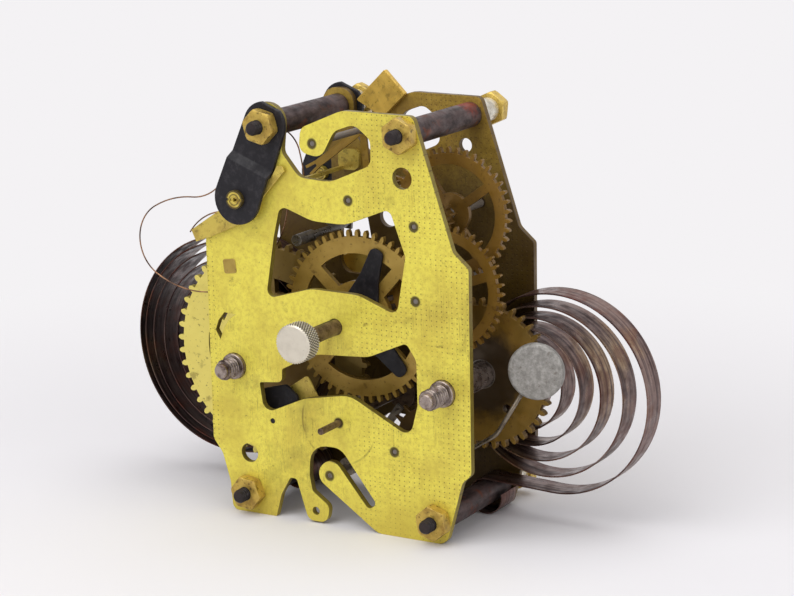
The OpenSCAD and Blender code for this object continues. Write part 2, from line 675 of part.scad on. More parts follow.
// Great wheels, winding arbors with their ratchets, and clicks
ratchet_t = 1;
ratchet_r = 6.4;
ratchet_root = 5.3;
click_at = 10.2;
click_turn = 100;
tooth_turn = click_turn - 33;
function ratchet(n, r_root, r_tip, start) = [for (i = [0:n - 1]) each [
  polar(r_root, start + 360 * i / n), polar(r_root, start + 360 * (i + 0.14) / n), polar(r_tip,
    start + 360 * (i + 0.92) / n),
  polar(r_tip, start + 360 * (i + 0.98) / n)]];
module great_wheel(at, y, n, leaves, r_tip, to, start) {
  difference() {
    union() {
      wheel_rim(at, y, great_t, n, leaves, r_tip, norm(to - at), angle_of(to - at));
      rod(at + polar(click_at, start), y, great_t + ratchet_t + 0.4, 0.8);
    }
    hole(at, wind_bore_r);
  }
}
module winding_arbor(at, rear_end, ratchet_y, start) {
  rod(at, -1, ratchet_y + ratchet_t + 1, wind_r);
  rod(at, ratchet_y, front_out + 0.3 - ratchet_y, core_r);
  rod(at, -rear_end, rear_end, wind_thread_d / 2);
  rod(at, -rear_end - 1, 2, 1.5);
  translate([at.x, 0, at.y]) slab(ratchet_y, ratchet_t) polygon(ratchet(ratchet_n, ratchet_root,
    ratchet_r, start));
}
// A click that turns on a pin of the great wheel, with its nose in the ratchet
module click(at, y, start) {
  pin = at + polar(click_at, start);
  nose = at + polar(5.75, start - 30);
  color("dimgray") difference() {
    slab(y, ratchet_t) polygon(concat(
      arc(pin, 1.7, start - 60, start + 150, 10),
      [at + polar(6.7, start - 20), nose + polar(0.3, start + 20), nose + polar(0.35, start - 60),
        at + polar(7.6, start - 30)]));
    hole(pin, 0.8 + running_gap);
  }
}
time_ratchet_y = great_y + great_t + 0.15;
alarm_ratchet_y = alarm_great_y + great_t + 0.15;
module time_great_wheel() {
  color("goldenrod") difference() {
    great_wheel(time_at, great_y, great_n, centre_leaves, great_r, hand_at, click_turn);
    crossings(time_at, great_y, great_t, 12.8, 15.8, 4, 5, 20);
  }
}
module alarm_great_wheel() {
  color("goldenrod") difference() {
    great_wheel(alarm_at, alarm_great_y, alarm_great_n, alarm_leaves, alarm_great_r, alarm_escape_at,
      click_turn);
    hole(alarm_at + polar(8.6, -50), 0.9);
  }
}
module time_winding_arbor() {
  color("dimgray") winding_arbor(time_at, 4.4, time_ratchet_y, tooth_turn);
}
module alarm_winding_arbor() {
  color("dimgray") winding_arbor(alarm_at, 6.2, alarm_ratchet_y, tooth_turn);
}
module time_click() {
  click(time_at, time_ratchet_y, click_turn);
}
module alarm_click() {
  click(alarm_at, alarm_ratchet_y, click_turn);
}

// Alarm train
module alarm_escape_wheel() {
  back = angle_of(alarm_at - alarm_escape_at);
  color("goldenrod") union() {
    translate([alarm_escape_at.x, 0, alarm_escape_at.y]) slab(alarm_escape_y, 0.9)
      polygon(lean_teeth(alarm_escape_n, alarm_escape_r - 1.7, alarm_escape_r, 0.3, 0));
    arbor(alarm_escape_at, 0.9);
    pinion(alarm_escape_at, alarm_great_y - 0.5, 2.6, alarm_leaves, alarm_great_n,
      norm(alarm_at - alarm_escape_at), back);
  }
}
head_at = [41, -6.3];
verge_gap = 0.3;
verge_span = acos((alarm_escape_r + pin_r + verge_gap) / norm(alarm_escape_at - hammer_at));
verge_reach = sqrt(pow(norm(alarm_escape_at - hammer_at), 2) - pow(alarm_escape_r + pin_r + verge_gap, 2));
wire_route = rounded([[-2.2, -31.4, 0], [12, -28.6, 8], [26.5, -23.9, 8], [32, -20.4, 6], [38.4, -10.2,
  0]]);
module wire_solid() {
  slab(hammer_y - wire_d / 2, wire_d) polygon(band(wire_route, wire_d));
}
module alarm_verge() {
  toward = angle_of(alarm_escape_at - hammer_at);
  color("gray") difference() {
    union() {
      arbor(hammer_at, 0.8);
      rod(hammer_at, hammer_y - 1.2, 2.4, 1.9);
      for (s = [-1, 1]) {
        p = hammer_at + polar(verge_reach, toward + s * (90 - verge_span));
        bar(alarm_escape_y + 1.3, 0.7, hammer_at, p + unit(p - hammer_at) * 0.6, 1.6);
        rod(p, alarm_escape_y - 0.3, 1.8, pin_r);
      }
    }
    wire_solid();
  }
}
module hammer_wire() {
  color("silver") wire_solid();
}
module hammer_head() {
  color("gray") difference() {
    translate([head_at.x, hammer_y, head_at.y]) rotate([0, 0, 10]) rotate([90, 0, 0])
      cylinder(h = head_t, r = head_d / 2, center = true, $fn = 64);
    wire_solid();
  }
}
module alarm_set_arbor() {
  color("silver") union() {
    rod(set_at, -7, 7 + front_out, set_d / 2);
    rod(set_at, front_out - 1, 5, set_d / 2 - 0.2);
    rod(set_at, rear_in + 0.4, 1.2, 1.6);
    rod(set_at, front_in - 2.4, 1.6, 3.4);
  }
}

rear_plate();
front_plate();
pillar(0);  // pillar_upper_left
pillar(1);  // pillar_upper_right
pillar(2);  // pillar_lower_left
pillar(3);  // pillar_lower_right
rear_nut(0);  // rear_nut_upper_left
rear_nut(1);  // rear_nut_upper_right
rear_nut(2);  // rear_nut_lower_left
rear_nut(3);  // rear_nut_lower_right
collar(0);  // collar_upper_left
collar(1);  // collar_upper_right
collar(2);  // collar_lower_left
collar(3);  // collar_lower_right
front_nut(0);  // front_nut_upper_left
front_nut(1);  // front_nut_upper_right
front_nut(2);  // front_nut_lower_left
front_nut(3);  // front_nut_lower_right
rear_balance_bracket();
front_balance_bracket();
rear_cup_screw();
front_cup_screw();
regulator_lever();
hairspring_stud();
hairspring();
top_lug();
window_post();
stop_lever();
stop_spring();
hand_arbor();
set_knob();
friction_spring();
cannon_pinion();
centre_wheel();
minute_stud();
minute_wheel();
hour_wheel();
third_wheel();
fourth_wheel();
escape_wheel();
pallet_lever();
time_great_wheel();
time_winding_arbor();
time_click();
time_mainspring();
alarm_great_wheel();
alarm_winding_arbor();
alarm_click();
alarm_mainspring();
alarm_escape_wheel();
alarm_verge();
hammer_wire();
hammer_head();
alarm_set_arbor();
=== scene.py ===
import json
import math

import bmesh
import bpy
import numpy as np
from mathutils import Matrix, Vector


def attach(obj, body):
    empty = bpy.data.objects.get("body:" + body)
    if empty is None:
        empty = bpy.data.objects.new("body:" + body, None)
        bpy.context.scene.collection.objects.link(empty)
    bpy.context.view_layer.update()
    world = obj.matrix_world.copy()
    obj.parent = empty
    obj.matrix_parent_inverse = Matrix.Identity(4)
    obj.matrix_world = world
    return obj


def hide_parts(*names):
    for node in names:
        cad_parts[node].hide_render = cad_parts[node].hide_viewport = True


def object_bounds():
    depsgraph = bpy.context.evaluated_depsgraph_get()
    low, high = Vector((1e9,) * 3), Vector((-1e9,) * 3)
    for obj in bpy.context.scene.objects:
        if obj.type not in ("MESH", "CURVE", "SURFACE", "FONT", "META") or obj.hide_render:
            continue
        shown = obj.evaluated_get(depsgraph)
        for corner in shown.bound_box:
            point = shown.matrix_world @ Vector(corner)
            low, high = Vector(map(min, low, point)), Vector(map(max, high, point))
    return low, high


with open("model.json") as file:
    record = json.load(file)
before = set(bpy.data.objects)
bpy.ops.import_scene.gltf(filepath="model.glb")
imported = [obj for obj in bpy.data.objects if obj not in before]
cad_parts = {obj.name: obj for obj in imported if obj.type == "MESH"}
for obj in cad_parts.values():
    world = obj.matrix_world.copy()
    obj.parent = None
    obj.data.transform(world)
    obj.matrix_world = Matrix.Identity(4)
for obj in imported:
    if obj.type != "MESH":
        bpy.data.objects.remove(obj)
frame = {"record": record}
cadLow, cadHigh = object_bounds()
print("frame loaded")

mm = 0.001
nodes = {o.name: o for o in bpy.data.objects if o.type == "MESH"}

# Axes along Y, as (x, z) in millimetres
arbors = {
    "hand": (0, 0), "minute": (-12, 0), "third": (18.67, 7.1), "fourth": (18.6, 21.95), "escape": (3.8, 26),
    "pallet": (-4.2, 36.8), "alarmEscape": (13.2, -24.3), "hammer": (-2.2, -31.4), "alarmSet": (0.3, -19.9),
    "timeWinding": (-24.5, -10.8), "alarmWinding": (24.5, -10.8), "balance": (-21, 24.8)}


# Shader helpers. A graph holds one material's nodes and hands out sockets.

def linear(r, g, b):
    # sRGB 0 to 255 into the shader's linear colour
    c = np.array([r, g, b]) / 255.0
    return [float(x) for x in np.where(c <= 0.04045, c / 12.92, ((c + 0.055) / 1.055) ** 2.4)] + [1.0]


class Graph:
    def __init__(self, name, colour, metallic, roughness):
        self.material = bpy.data.materials.new(name)
        self.material.use_nodes = True
        self.tree = self.material.node_tree
        self.shader = self.tree.nodes["Principled BSDF"]
        self.shader.inputs["Base Color"].default_value = colour
        self.shader.inputs["Metallic"].default_value = metallic
        self.shader.inputs["Roughness"].default_value = roughness
        self.objectPoint = self.node("ShaderNodeTexCoord").outputs["Object"]

    def node(self, kind, **settings):
        made = self.tree.nodes.new(kind)
        for key, value in settings.items():
            setattr(made, key, value)
        return made

    def feed(self, socket, value):
        # a socket is linked, a plain value is written on the input
        if isinstance(value, bpy.types.NodeSocket):
            self.tree.links.new(value, socket)
        else:
            socket.default_value = value

    def maths(self, operation, a, b=0.0):
        made = self.node("ShaderNodeMath", operation=operation)
        self.feed(made.inputs[0], a)
        self.feed(made.inputs[1], b)
        return made.outputs[0]

    def times(self, a, b):
        return self.maths("MULTIPLY", a, b)

    def mapped(self, scale, turn=(0, 0, 0)):
        made = self.node("ShaderNodeMapping")
        self.feed(made.inputs["Vector"], self.objectPoint)
        made.inputs["Scale"].default_value = scale
        made.inputs["Rotation"].default_value = turn
        return made.outputs[0]

    def noise(self, scale, detail=3.0, rough=0.55, point=None):
        # the scale is in cells per metre
        made = self.node("ShaderNodeTexNoise")
        self.feed(made.inputs["Vector"], point or self.objectPoint)
        made.inputs["Scale"].default_value = scale
        made.inputs["Detail"].default_value = detail
        made.inputs["Roughness"].default_value = rough
        return made.outputs["Fac"]

    def cells(self, scale):
        made = self.node("ShaderNodeTexVoronoi")
        self.feed(made.inputs["Vector"], self.objectPoint)
        made.inputs["Scale"].default_value = scale
        return made.outputs["Distance"]

    def between(self, value, a, b, out0=0.0, out1=1.0):
        # a value mapped from a..b onto out0..out1, held at the ends
        made = self.node("ShaderNodeMapRange", clamp=True, interpolation_type="SMOOTHSTEP")
        self.feed(made.inputs["Value"], value)
        made.inputs["From Min"].default_value = a
        made.inputs["From Max"].default_value = b
        made.inputs["To Min"].default_value = out0
        made.inputs["To Max"].default_value = out1
        return made.outputs[0]

    def mixed(self, factor, a, b):
        made = self.node("ShaderNodeMix", data_type="RGBA")
        self.feed(made.inputs["Factor"], factor)
        self.feed(made.inputs[6], a)
        self.feed(made.inputs[7], b)
        return made.outputs[2]

    def over(self, colour, mask, amount, tone):
        # a tone laid over a colour where the mask is 1, in the given amount
        return self.mixed(self.times(mask, amount), colour, tone)

    def axes(self, point=None):
        made = self.node("ShaderNodeSeparateXYZ")
        self.feed(made.inputs[0], point or self.objectPoint)
        return made.outputs

    def valley(self):
        # how deep a point lies in a thread or knurl, from the piece's own attribute
        return self.node("ShaderNodeAttribute", attribute_name="valley").outputs["Fac"]

    def bump(self, height, distance, strength=1.0, under=None):
        made = self.node("ShaderNodeBump")
        self.feed(made.inputs["Height"], height)
        made.inputs["Distance"].default_value = distance
        made.inputs["Strength"].default_value = strength
        if under is not None:
            self.feed(made.inputs["Normal"], under)
        return made.outputs[0]

    def edgeWearAndHighlight(self, distance):
        # 1 on sharp outer edges, from the bevel node's normal against the true one
        rounded = self.node("ShaderNodeBevel", samples=4)
        rounded.inputs["Radius"].default_value = distance
        plain = self.node("ShaderNodeNewGeometry")
        made = self.node("ShaderNodeVectorMath", operation="DOT_PRODUCT")
        self.feed(made.inputs[0], rounded.outputs[0])
        self.feed(made.inputs[1], plain.outputs["Normal"])
        return self.between(made.outputs["Value"], 0.999, 0.8)

    def finish(self, colour, roughness, normal=None):
        self.feed(self.shader.inputs["Base Color"], colour)
        self.feed(self.shader.inputs["Roughness"], roughness)
        if normal is not None:
            self.feed(self.shader.inputs["Normal"], normal)
        return self.material


def ringDistance(g, centre):
    # distance in metres from an axis along Y through a place in the plate
    x, _, z = g.axes()
    dx = g.maths("SUBTRACT", x, centre[0] * mm)
    dz = g.maths("SUBTRACT", z, centre[1] * mm)
    squares = g.maths("ADD", g.times(dx, dx), g.times(dz, dz))
    return g.maths("SQRT", squares)


# the inner colours are a darker copy of the brass, standing for the shade inside the movement: painted shade
plateLook = {
    "bright": (232, 219, 88), "dull": (194, 172, 68), "brown": (70, 48, 20),
    "innerBright": (176, 146, 60), "innerDull": (124, 94, 38), "innerBrown": (62, 42, 18),
    "shade": (58, 40, 20), "oil": (44, 30, 18),
    "dotPitch": (1.14, 1.02), "dotSize": 0.165, "dotsFrom": 4.5,
    "wearCentre": "alarmSet", "wearRadius": 8.6, "roughness": 0.44, "metallic": 0.35,
    "pivots": ("third", "fourth", "escape", "pallet", "alarmEscape", "hammer", "alarmSet")}


def plateMaterial(name, inner):
    # cloudy tarnish over brass, a grid of punched dots to the right and far left, scratches, specks, oil
    # round the pivots and a wear ring
    s = plateLook
    # inner picks the darker copy of the colours, painted shade
    bright = linear(*s["innerBright" if inner else "bright"])
    dull = linear(*s["innerDull" if inner else "dull"])
    brown = linear(*s["innerBrown" if inner else "brown"])
    g = Graph(name, bright, s["metallic"], s["roughness"])
    x, y, z = g.axes()
    cloud = g.between(g.noise(70, 6, 0.66), 0.4, 0.7)
    fine = g.between(g.noise(900, 6, 0.8), 0.44, 0.62)
    colour = g.mixed(g.times(cloud, 0.7), bright, dull)
    colour = g.over(colour, fine, 0.5, dull)
    warm = g.between(g.noise(48, 5, 0.7), 0.54, 0.68)
    colour = g.over(colour, warm, 0.3, brown)
    # punched dots: distance to the nearest grid point
    px, pz = s["dotPitch"]
    fx = g.maths("SUBTRACT", g.maths("FRACT", g.maths("DIVIDE", x, px * mm)), 0.5)
    fz = g.maths("SUBTRACT", g.maths("FRACT", g.maths("DIVIDE", z, pz * mm)), 0.5)
    fx = g.times(fx, px)
    fz = g.times(fz, pz)
    reach = g.maths("SQRT", g.maths("ADD", g.times(fx, fx), g.times(fz, fz)))
    dot = g.between(reach, s["dotSize"] * 1.15, s["dotSize"] * 0.45)
    patch = g.between(g.noise(120, 2), 0.34, 0.56)
    right = g.between(x, (s["dotsFrom"] - 1.5) * mm, (s["dotsFrom"] + 1) * mm)
    left = g.between(x, -27.4 * mm, -28.4 * mm)
    dots = g.times(dot, g.times(patch, g.maths("MAXIMUM", right, left)))
    colour = g.over(colour, dots, 0.62, brown)
    # hairline scratches in two directions
    scratchA = g.noise(60, 2, 0.5, g.mapped((26, 1, 1.4), turn=(0, 0.5, 0)))
    scratchB = g.noise(60, 2, 0.5, g.mapped((30, 1, 1.2), turn=(0, -0.9, 0)))
    lineA = g.between(g.maths("ABSOLUTE", g.maths("SUBTRACT", scratchA, 0.5)), 0.006, 0.0)
    lineB = g.between(g.maths("ABSOLUTE", g.maths("SUBTRACT", scratchB, 0.47)), 0.005, 0.0)
    sparse = g.between(g.noise(45, 1), 0.46, 0.6)
    scratches = g.times(g.maths("MAXIMUM", lineA, lineB), sparse)
    colour = g.over(colour, scratches, 0.55, brown)
    # the ring that a loose knob has rubbed
    away = ringDistance(g, arbors[s["wearCentre"]])
    offRing = g.maths("ABSOLUTE", g.maths("SUBTRACT", away, s["wearRadius"] * mm))
    ring = g.times(g.between(offRing, 0.0003, 0.00008), g.between(g.noise(150, 2), 0.42, 0.6))
    colour = g.over(colour, ring, 0.5, brown)
    specks = g.between(g.noise(1100, 4, 0.7), 0.6, 0.7)
    gathered = g.between(g.noise(90, 3), 0.36, 0.62)
    blotches = g.between(g.noise(230, 6, 0.75), 0.6, 0.72)
    marks = g.maths("MAXIMUM", g.times(specks, gathered), g.times(blotches, 0.6))
    colour = g.over(colour, marks, 0.8, brown)
    # old oil in a ring round each pivot
    oil = 0.0
    for place in s["pivots"]:
        oil = g.maths("MAXIMUM", g.between(ringDistance(g, arbors[place]), 0.0013, 0.0009), oil)
    colour = g.over(colour, oil, 0.9, linear(*s["oil"]))
    # cut edges and the lower rim are darker
    side = g.node("ShaderNodeNewGeometry").outputs["Normal"]
    facing = g.maths("ABSOLUTE", g.axes(side)[1])
    edge = g.between(facing, 0.995, 0.6)
    colour = g.over(colour, edge, 0.78, brown)
    foot = g.between(z, -30 * mm, -43 * mm)
    colour = g.over(colour, foot, 0.5, dull)
    if inner:
        # painted shade: the inner face darkens away from its top, where the near plate and the wheels shade
        # it
        deep = g.times(g.between(z, 36 * mm, 20 * mm), g.between(y, 28.3 * mm, 27.8 * mm))
        colour = g.over(colour, deep, 0.8, linear(*s["shade"]))
    else:
        # painted shade: the near plate's inward face takes the darker inner tone
        back = g.between(y, 1.2 * mm, 1.39 * mm)
        colour = g.over(colour, back, 0.6, linear(*s["innerDull"]))
    rough = g.between(g.noise(260, 4), 0.3, 0.75, s["roughness"] - 0.1, s["roughness"] + 0.16)
    dents = g.bump(g.maths("SUBTRACT", 1.0, dots), 0.00006, 0.7)
    normal = g.bump(g.noise(2600, 3), 0.00002, 0.35, dents)
    return g.finish(colour, rough, normal)


wheelLook = {"bright": (206, 178, 84), "dull": (150, 114, 44), "brown": (74, 50, 20), "roughness": 0.36}


def wheelMaterial(name, arbor, light, tone=None, grime=0.0, steelWithin=1.0, shadeFrom=None):
    # turned brass: fine rings round the arbor, tarnish clouds, dark specks, oil near the middle, a steel
    # arbor, and shade from shadeFrom mm along X onwards
    s = wheelLook
    # tone and light paint how lit the wheel is, painted light and shade; less light brings up more dull cloud
    bright = linear(*(tone or s["bright"]))
    dull = linear(*s["dull"])
    brown = linear(*s["brown"])
    g = Graph(name, bright, 0.45, s["roughness"])
    away = ringDistance(g, arbors[arbor])
    groove = g.maths("SINE", g.times(away, 2 * math.pi / 0.00022))
    cloud = g.between(g.noise(160, 5, 0.62), 0.34, 0.72)
    colour = g.mixed(g.times(cloud, 1.0 - light), bright, dull)
    fine = g.between(g.noise(1300, 3), 0.62, 0.72)
    colour = g.over(colour, fine, 0.5, brown)
    stain = g.between(g.noise(320, 4, 0.6), 0.6, 0.72)
    colour = g.over(colour, stain, 0.45, brown)
    side = g.node("ShaderNodeNewGeometry").outputs["Normal"]
    edge = g.between(g.maths("ABSOLUTE", g.axes(side)[1]), 0.97, 0.3)
    colour = g.over(colour, edge, 0.45, brown)
    if grime:
        ragged = g.maths("ADD", away, g.times(g.noise(300, 4, 0.65), 0.006))
        oily = g.between(ragged, 0.0145, 0.010)
        colour = g.over(colour, oily, grime, linear(46, 34, 24))
    if shadeFrom is not None:
        inside = g.between(g.axes()[0], shadeFrom * mm, (shadeFrom + 3) * mm)
        colour = g.over(colour, inside, 0.85, linear(112, 82, 36))
    steel = g.between(away, (steelWithin + 0.05) * mm, steelWithin * mm)
    colour = g.mixed(steel, colour, linear(120, 112, 104))
    rough = g.between(g.noise(500, 3), 0.3, 0.7, s["roughness"] - 0.08, s["roughness"] + 0.2)
    ridges = g.bump(groove, 0.000004, 0.5)
    normal = g.bump(g.noise(3000, 3), 0.00002, 0.3, ridges)
    return g.finish(colour, rough, normal)


rustLook = {"steel": (92, 76, 74), "dark": (44, 33, 32), "rust": (120, 62, 34), "red": (142, 52, 30)}


def rustMaterial(name, redPlace=None):
    # blued steel gone brown: mottled film, rust patches, pits, dark rear ends and thread grooves, and one red
    # spot where redPlace is given
    s = rustLook
    g = Graph(name, linear(*s["steel"]), 0.5, 0.5)
    stretched = g.mapped((1, 0.35, 1))
    film = g.between(g.noise(420, 5, 0.65, stretched), 0.34, 0.66)
    colour = g.mixed(film, linear(*s["steel"]), linear(*s["dark"]))
    patches = g.between(g.noise(260, 4, 0.6), 0.55, 0.7)
    colour = g.over(colour, patches, 0.7, linear(*s["rust"]))
    pits = g.between(g.cells(2600), 0.22, 0.08)
    colour = g.over(colour, pits, 0.5, linear(*s["dark"]))
    if redPlace is not None:
        far = g.node("ShaderNodeVectorMath", operation="DISTANCE")
        g.feed(far.inputs[0], g.objectPoint)
        far.inputs[1].default_value = [v * mm for v in redPlace]
        spot = g.maths("ADD", far.outputs["Value"], g.times(g.noise(700, 4, 0.7), 0.005))
        colour = g.over(colour, g.between(spot, 0.0062, 0.0036), 0.75, linear(*s["red"]))
    ends = g.between(g.axes()[1], 0.1 * mm, -0.3 * mm)
    colour = g.over(colour, ends, 0.8, linear(34, 29, 30))
    colour = g.over(colour, g.valley(), 0.7, linear(20, 16, 16))
    rough = g.between(g.noise(500, 4), 0.3, 0.7, 0.36, 0.68)
    pitted = g.bump(g.maths("SUBTRACT", 1.0, pits), 0.00003, 0.5)
    normal = g.bump(g.noise(1400, 4), 0.00004, 0.45, pitted)
    return g.finish(colour, rough, normal)


def arborMaterial(name, tipAt, slit):
    # dark rusted steel: bright beyond tipAt mm along Y, with a black slit up one side where slit is set
    g = Graph(name, linear(104, 84, 66), 0.45, 0.42)
    spots = g.between(g.noise(520, 5, 0.7), 0.4, 0.68)
    colour = g.mixed(spots, linear(112, 92, 74), linear(62, 44, 32))
    x, y, z = g.axes()
    tip = g.between(y, (tipAt + 0.6) * mm, (tipAt - 0.2) * mm)
    colour = g.over(colour, tip, 0.85, linear(196, 188, 182))
    if slit:
        beside = g.between(g.maths("ABSOLUTE", g.maths("SUBTRACT", x, -0.3 * mm)), 0.55 * mm, 0.4 * mm)
        above = g.times(g.between(z, 0, 0.2 * mm), g.between(y, -6.2 * mm, -5.6 * mm))
        colour = g.over(colour, beside, above, linear(16, 13, 12))
    rough = g.between(g.noise(300, 3), 0.3, 0.7, 0.34, 0.54)
    return g.finish(colour, rough, g.bump(g.noise(2200, 3), 0.00003, 0.5))


def blackMaterial(name):
    # black lacquered steel: dust, scuffs, and lighter edges of worn bare metal with a painted highlight
    g = Graph(name, linear(27, 25, 30), 0.0, 0.5)
    g.shader.inputs["Specular IOR Level"].default_value = 0.3
    dust = g.between(g.noise(700, 5, 0.6), 0.46, 0.75)
    colour = g.mixed(g.times(dust, 0.3), linear(25, 23, 28), linear(74, 70, 74))
    scuffs = g.between(g.noise(1800, 2, 0.5, g.mapped((4, 1, 0.4), turn=(0, 0.6, 0))), 0.68, 0.78)
    colour = g.over(colour, scuffs, 0.3, linear(120, 112, 104))
    # lighter edges: worn bare metal and a painted highlight
    colour = g.over(colour, g.edgeWearAndHighlight(0.00025), 0.25, linear(120, 110, 96))
    rough = g.between(g.noise(380, 3), 0.35, 0.7, 0.42, 0.62)
    return g.finish(colour, rough, g.bump(g.noise(2400, 3), 0.00002, 0.4))


def steelMaterial(name, light, dark, metallic=0.8, roughness=0.34, ringsAlongY=True, grimeAmount=0.6):
    # turned or drawn steel: lathe marks along Y, grime in clouds, small rust freckles, dark thread grooves
    g = Graph(name, linear(*light), metallic, roughness)
    _, y, _ = g.axes()
    grime = g.between(g.noise(520, 4, 0.6), 0.42, 0.7)
    colour = g.mixed(g.times(grime, grimeAmount), linear(*light), linear(*dark))
    freckles = g.between(g.noise(1700, 2), 0.68, 0.74)
    colour = g.over(colour, freckles, grimeAmount, linear(96, 62, 40))
    colour = g.over(colour, g.valley(), 0.92, linear(*[v * 0.3 for v in dark]))
    rough = g.between(g.noise(700, 3), 0.3, 0.7, roughness - 0.08, roughness + 0.18)
    marks = g.bump(g.noise(900, 3), 0.00001, 0.4)
    if ringsAlongY:
        wave = g.maths("SINE", g.times(y, 2 * math.pi / 0.00016))
        marks = g.bump(wave, 0.000003, 0.5, marks)
    return g.finish(colour, rough, marks)


def tarnishedBrassMaterial(name, bright=(196, 166, 78), dirt=(62, 44, 20), amount=0.6):
    # nuts and small brass: brighter corners from wear and a painted highlight, brown dirt in patches
    g = Graph(name, linear(*bright), 0.5, 0.36)
    cloud = g.between(g.noise(420, 4, 0.6), 0.4, 0.68)
    colour = g.mixed(g.times(cloud, amount), linear(*bright), linear(138, 104, 44))
    patches = g.between(g.noise(760, 3, 0.6), 0.56, 0.68)
    colour = g.over(colour, patches, amount, linear(*dirt))
    # brighter edges: wear and a painted highlight
    colour = g.over(colour, g.edgeWearAndHighlight(0.0002), 0.5, linear(226, 206, 128))
    rough = g.between(g.noise(600, 3), 0.3, 0.7, 0.26, 0.55)
    return g.finish(colour, rough, g.bump(g.noise(1900, 3), 0.00002, 0.4))


# pale is the tone of painted highlights on the band
springLook = {"lit": (172, 146, 136), "pale": (222, 192, 150), "dark": (72, 50, 50), "rust": (126, 66, 46)}


def springMaterial(name, dim=1.0):
    # oiled spring strip: long streaks that follow the band's own length and width, rust bloom, and a dark
    # film that is a little heavier toward the near edge
    s = springLook
    g = Graph(name, linear(*s["lit"]), 0.75, 0.36)
    along = g.node("ShaderNodeAttribute", attribute_name="along").outputs["Fac"]
    across = g.node("ShaderNodeAttribute", attribute_name="across").outputs["Fac"]
    joined = g.node("ShaderNodeCombineXYZ")
    g.feed(joined.inputs[0], g.times(along, 60.0))
    g.feed(joined.inputs[1], g.times(across, 900.0))
    streak = g.between(g.noise(1.0, 4, 0.6, joined.outputs[0]), 0.36, 0.66)
    # dim scales every colour down for a shaded copy, painted shade
    lit, dark, pale = [[c * dim for c in linear(*s[key])[:3]] + [1.0] for key in ("lit", "dark", "pale")]
    # broad pale patches over the lit tone: painted highlights
    colour = g.mixed(g.between(g.noise(75, 3), 0.5, 0.64), lit, pale)
    colour = g.mixed(streak, colour, dark)
    bloom = g.between(g.noise(150, 5, 0.66), 0.46, 0.62)
    colour = g.over(colour, bloom, 0.6, linear(*s["rust"]))
    film = g.between(across, 0.1, 0.0)
    colour = g.over(colour, film, 0.5, linear(52, 22, 18))
    spots = g.between(g.noise(1400, 3), 0.62, 0.7)
    colour = g.over(colour, spots, 0.6, linear(40, 26, 22))
    rough = g.between(g.noise(420, 4), 0.3, 0.7, 0.26, 0.55)
    return g.finish(colour, rough, g.bump(g.noise(1500, 3), 0.00002, 0.35))


def cupMaterial(name):
    # turned brass head: a dark turned groove at 1.08 mm, a dark rim and a dark centre
    g = Graph(name, linear(206, 184, 78), 0.4, 0.36)
    away = ringDistance(g, arbors["balance"])
    cloud = g.between(g.noise(500, 4), 0.35, 0.7)
    colour = g.mixed(cloud, linear(214, 192, 84), linear(160, 134, 56))
    groove = g.between(g.maths("ABSOLUTE", g.maths("SUBTRACT", away, 1.08 * mm)), 0.2 * mm, 0.08 * mm)
    rim = g.between(away, 1.5 * mm, 1.62 * mm)
    middle = g.between(away, 0.42 * mm, 0.3 * mm)
    dark = g.maths("MAXIMUM", g.times(groove, 0.75), g.maths("MAXIMUM", rim, middle))
    colour = g.over(colour, dark, 0.85, linear(42, 30, 18))
    return g.finish(colour, g.between(cloud, 0, 1, 0.3, 0.5), g.bump(g.noise(2000, 3), 0.00002, 0.4))


def zincMaterial(name):
    # cast zinc alloy: grey with white bloom and dark pores
    g = Graph(name, linear(140, 136, 130), 0.35, 0.48)
    bloom = g.between(g.noise(950, 6, 0.7), 0.36, 0.68)
    colour = g.mixed(bloom, linear(126, 123, 118), linear(160, 157, 152))
    pores = g.between(g.cells(2600), 0.2, 0.06)
    colour = g.over(colour, pores, 0.6, linear(66, 60, 58))
    grime = g.between(g.noise(900, 3), 0.6, 0.72)
    colour = g.over(colour, grime, 0.5, linear(86, 72, 58))
    rough = g.between(g.noise(700, 3), 0.3, 0.7, 0.36, 0.62)
    pits = g.bump(g.maths("SUBTRACT", 1.0, pores), 0.00005, 0.6)
    return g.finish(colour, rough, g.bump(g.noise(1300, 4), 0.00003, 0.5, pits))


def copperMaterial(name):
    # drawn wire with darker stretches
    g = Graph(name, linear(150, 108, 78), 0.6, 0.34)
    dull = g.between(g.noise(260, 3), 0.4, 0.65)
    colour = g.mixed(dull, linear(158, 116, 84), linear(84, 60, 46))
    return g.finish(colour, g.between(g.noise(900, 2), 0.3, 0.7, 0.24, 0.45))


# Mesh helpers. Everything is worked out in millimetres and written in metres.

def makeObject(name, points, faces, material):
    mesh = bpy.data.meshes.new(name)
    mesh.from_pydata((np.asarray(points, float) * mm).tolist(), [], faces)
    mesh.materials.append(material)
    mesh.update()
    made = bpy.data.objects.new(name, mesh)
    bpy.context.scene.collection.objects.link(made)
    mesh.shade_smooth()
    return made


def gridFaces(rows, columns, closed=True):
    # quads between neighbours of a grid whose point (i, j) has the number i * columns + j; closed joins its
    # last column to its first
    i, j = np.meshgrid(np.arange(rows - 1), np.arange(columns - (not closed)), indexing="ij")
    j2 = (j + 1) % columns
    quads = np.stack([i * columns + j, i * columns + j2, (i + 1) * columns + j2, (i + 1) * columns + j], -1)
    return quads.reshape(-1, 4).tolist()


def sharpen(made, degrees=35):
    # faces that meet at more than the angle keep a hard edge
    made.data.set_sharp_from_angle(angle=math.radians(degrees))


def outward(made):
    work = bmesh.new()
    work.from_mesh(made.data)
    bmesh.ops.remove_doubles(work, verts=work.verts, dist=1e-7)
    bmesh.ops.recalc_face_normals(work, faces=work.faces)
    work.to_mesh(made.data)
    work.free()


